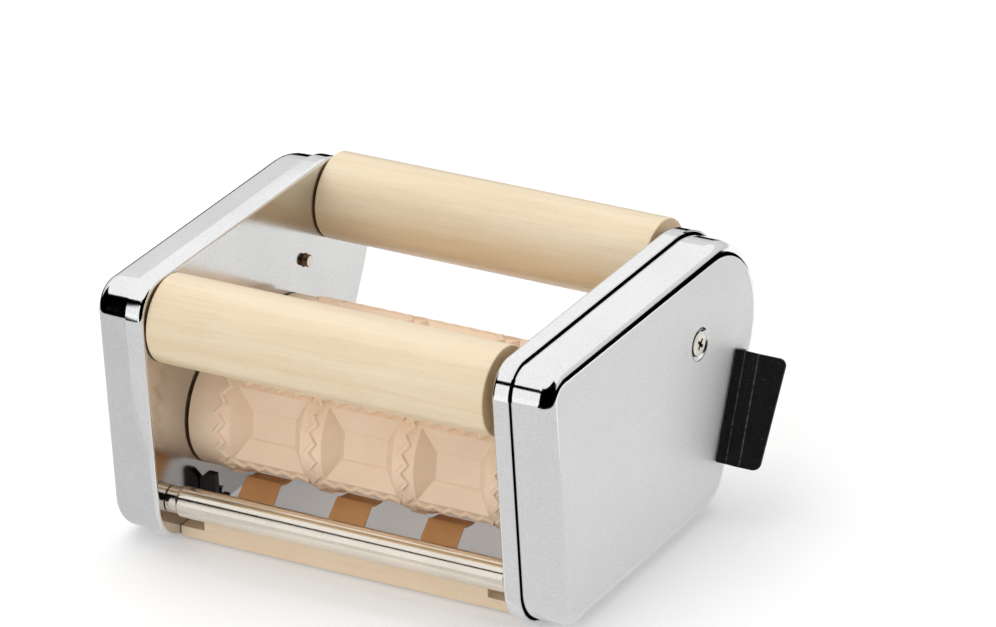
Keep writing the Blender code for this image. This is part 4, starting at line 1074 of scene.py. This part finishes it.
def lug(side, face, outward):
    """A folded lug: a foot on the cover, a bend, and a stepped fin that narrows downwards."""
    foot_x = SEAT_GAP + LUG_SHEET / 2
    path = [(LUG_FOOT, foot_x)]
    for step in range(13):
        turn = math.radians(90 * step / 12)
        path.append((LUG_BEND * (1 - math.sin(turn)), foot_x + LUG_BEND * (1 - math.cos(turn))))
    for step in range(13):
        share = step / 12
        blend = share * share * (3 - 2 * share)
        path.append((-LUG_STEP * blend, LUG_STEP_START + (LUG_STEP_END - LUG_STEP_START) * share))
    path.append((-LUG_STEP, LUG_REACH))
    bm = bmesh.new()
    rows = []
    for end, share in ((-1, LUG_LOW_REACH / LUG_REACH), (1, 1.0)):
        root = Vector((LUG_Y, LUG_Z)) + lug_along * end * LUG_LENGTH / 2
        row = []
        for offset, reach in path:
            place = root + lug_across * offset
            bent = foot_x + LUG_BEND
            rise = reach if reach <= bent else bent + (reach - bent) * share
            row.append(bm.verts.new((face + outward * rise, place.x, place.y)))
        rows.append(row)
    strip(bm, *rows)
    corners = [rows[0][-1], rows[1][-1], rows[0][0], rows[1][0]]
    bmesh.ops.bevel(bm, geom=corners, offset=LUG_CORNER, segments=10, profile=0.5, affect="VERTICES")
    bmesh.ops.recalc_face_normals(bm, faces=bm.faces)
    start, end = face - outward * CUT_SHORT, face + outward * LUG_CUT
    holes = [bar(start, end, place.x, place.y, RIVET_HOLE, 32) for place in rivet_places()]
    mesh = combined(thickened(mesh_of(bm), LUG_SHEET, 0.0), (), holes)
    made = finished(f"{side}_hook", f"{side}_lug", mesh, (PAINT,), degrees=50)
    soften(made, LUG_BEVEL, 2, 50)


def rivet(side, level, face, outward, place):
    """A rivet with a flat head behind the cover and a domed one on the lug."""
    inside = face - outward * (COVER_SHEET + SEAT_GAP)
    back = inside - outward * RIVET_RISE
    outside = face + outward * (2 * SEAT_GAP + LUG_SHEET)
    profile = [(back, 0.0), (back, RIVET_HEAD), (inside, RIVET_HEAD), (inside, RIVET_RADIUS)]
    profile += [(outside, RIVET_RADIUS), (outside, RIVET_HEAD)]
    for step in range(1, 8):
        turn = math.radians(90 * step / 8)
        profile.append((outside + outward * RIVET_RISE * math.sin(turn), RIVET_HEAD * math.cos(turn)))
    profile.append((outside + outward * RIVET_RISE, 0.0))
    mesh = lathe(profile, place.x, place.y, 40)
    name = f"{side}_{level}_rivet"
    weigh(finished(f"{name}_head", name, mesh, (PAINT,)))


def crank_sleeve():
    """A sleeve with a round bore for the crank, a hexagon for the shaft and a hole for the cross pin."""
    mouth = LEFT_FACE + SOCKET_SUNK
    inner = mouth + SOCKET_LENGTH
    floor = mouth + SOCKET_BORE_DEPTH
    y = MOULD_Y["front"]
    profile = [(mouth, 0.0), (mouth, SOCKET_RADIUS), (inner, SOCKET_RADIUS), (inner, 0.0)]
    base = placed("base", lathe(rounded(profile, SOCKET_EASE, 3), y, MOULD_Z, 64))
    bm = bmesh.new()
    size = {"segments": 24, "radius1": PIN_HOLE, "radius2": PIN_HOLE, "depth": PIN_HOLE_LENGTH}
    bmesh.ops.create_cone(bm, cap_ends=True, **size)
    bmesh.ops.translate(bm, verts=bm.verts, vec=(mouth + PIN_HOLE_PLACE, y, MOULD_Z))
    bore = bar(mouth - CUT_SHORT, floor, y, MOULD_Z, SOCKET_BORE, 64)
    hexagon = bar(floor - CUT_SHORT, inner + CUT_SHORT, y, MOULD_Z, SOCKET_HEXAGON / math.sqrt(3), 6)
    mesh = combined(base, (), (bore, hexagon, mesh_of(bm)))
    weigh(finished("crank_sleeve", "crank_socket", mesh, (NICKEL,), "front_mould"))


# Pieces inside the housings keep their solids


def dress_solids():
    for name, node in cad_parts.items():
        if not node.hide_render:
            node.data.materials.clear()
            node.data.materials.append(NYLON if "bush" in name else STEEL)


side_plate("left", 0.0, -1)
side_plate("right", INNER_WIDTH, 1)
cover("left_shell", "left_cover", LEFT_RIM, LEFT_FACE, -1, LEFT_INSET, 0.0007, True)
cover("gear_shell", "gear_cover", GEAR_RIM, RIGHT_FACE, 1, RIGHT_INSET, 0.0, False)
for row in ROWS:
    wooden_roller(row)
    mould_roller(row)
    tie_rod(row)
    comb(row)
    for side in ("left", "right"):
        bracket(row, side)
for side, wall, outward, face in (("left", 0.0, -1, LEFT_FACE), ("right", INNER_WIDTH, 1, RIGHT_FACE)):
    pillar(side, wall, outward, face)
    cover_screw(side, face, outward)
    lug(side, face, outward)
    for level, place in zip(("lower", "upper"), rivet_places()):
        rivet(side, level, face, outward, place)
crank_sleeve()
dress_solids()


# Studio


def emitter(name, strength):
    made = bpy.data.materials.new(name)
    made.use_nodes = True
    tree = made.node_tree
    tree.nodes.remove(tree.nodes["Principled BSDF"])
    glow = tree.nodes.new("ShaderNodeEmission")
    glow.inputs["Color"].default_value = (*WHITE, 1.0)
    glow.inputs["Strength"].default_value = strength
    tree.links.new(glow.outputs["Emission"], tree.nodes["Material Output"].inputs["Surface"])
    return made


def seen_directly(tree, seen, otherwise):
    """One number for the rays of camera, gloss and glass, and another for the light on the object."""
    path = tree.nodes.new("ShaderNodeLightPath")
    total = path.outputs["Is Camera Ray"]
    for name in ("Is Glossy Ray", "Is Transmission Ray"):
        either = tree.nodes.new("ShaderNodeMath")
        either.operation = "MAXIMUM"
        tree.links.new(total, either.inputs[0])
        tree.links.new(path.outputs[name], either.inputs[1])
        total = either.outputs[0]
    level = tree.nodes.new("ShaderNodeMapRange")
    level.inputs["To Min"].default_value = otherwise
    level.inputs["To Max"].default_value = seen
    tree.links.new(total, level.inputs["Value"])
    return level.outputs["Result"]


def sweep(name, start, end, near, far, material):
    """A card that only reflections see, swept round the object between two (radius, height) points."""
    bm = bmesh.new()
    steps = max(2, int(abs(end - start) / 4))
    rows = []
    for step in range(steps + 1):
        turn = math.radians(start + (end - start) * step / steps)
        across, back = math.sin(turn), -math.cos(turn)
        rows.append([bm.verts.new((reach * across, reach * back, height)) for reach, height in (near, far)])
    strip(bm, *zip(*rows))
    mesh = mesh_of(bm)
    mesh.materials.append(material)
    made = placed(name, mesh)
    made.visible_camera = False
    made.visible_diffuse = False
    made.visible_transmission = False
    made.visible_shadow = False


def studio():
    glows = {name: emitter(f"studio_{name}", level) for name, level in CARD_LEVELS.items()}
    for name, start, end, near, far, level in CARDS:
        sweep(name, start, end, near, far, glows[level])

    far = FLOOR_REACH
    floor_mesh = bpy.data.meshes.new("floor")
    corners = [(-far, -far, 0), (far, -far, 0), (far, far, 0), (-far, far, 0)]
    floor_mesh.from_pydata(corners, [], [(0, 1, 2, 3)])
    floor = placed("floor", floor_mesh)
    floor.location.z = -FLOOR_DROP
    paper = Graph("floor_paper")
    stops = [(place, (tone,) * 3) for place, tone in PAPER_TONES]
    tone = paper.ramp(paper.noise(paper.place, 3.0), stops)
    rough = paper.levels(paper.noise(paper.place, 60.0), 0.85, 0.95)
    floor_mesh.materials.append(paper.finish(tone, rough, Specular_IOR_Level=0.1))
    glow = paper.add("ShaderNodeEmission")
    lift = paper.add("ShaderNodeMixShader")
    paper.join(seen_directly(paper.tree, FLOOR_GLOW, 0.0), lift.inputs[0])
    paper.join(paper.shader.outputs["BSDF"], lift.inputs[1])
    paper.join(glow.outputs["Emission"], lift.inputs[2])
    paper.join(lift.outputs["Shader"], paper.tree.nodes["Material Output"].inputs["Surface"])

    world = bpy.data.worlds.new("studio")
    bpy.context.scene.world = world
    world.use_nodes = True
    tree = world.node_tree
    back = tree.nodes["Background"]
    back.inputs["Color"].default_value = (*WHITE, 1.0)
    tree.links.new(seen_directly(tree, 1.0, WORLD_LIGHT), back.inputs["Strength"])

    for name, azimuth, elevation, angle, strength in SUNS:
        data = bpy.data.lights.new(name, "SUN")
        data.energy = strength
        data.angle = math.radians(angle)
        lamp = placed(name, data)
        turn, rise = math.radians(azimuth), math.radians(elevation)
        towards = Vector((math.sin(turn) * math.cos(rise), -math.cos(turn) * math.cos(rise), math.sin(rise)))
        lamp.rotation_euler = towards.to_track_quat("Z", "Y").to_euler()
        lamp.visible_glossy = False

    bpy.context.scene.view_settings.view_transform = "Standard"


def camera():
    data = bpy.data.cameras.new("camera")
    data.lens = CAMERA_LENS
    data.sensor_width = SENSOR
    data.clip_start, data.clip_end = CAMERA_RANGE
    made = placed("camera", data)
    right = CAMERA_RIGHT.normalized()
    back = right.cross(CAMERA_UP).normalized()
    up = back.cross(right)
    made.matrix_world = Matrix.Translation(CAMERA_PLACE) @ Matrix((right, up, back)).transposed().to_4x4()
    bpy.context.scene.camera = made


studio()
camera()
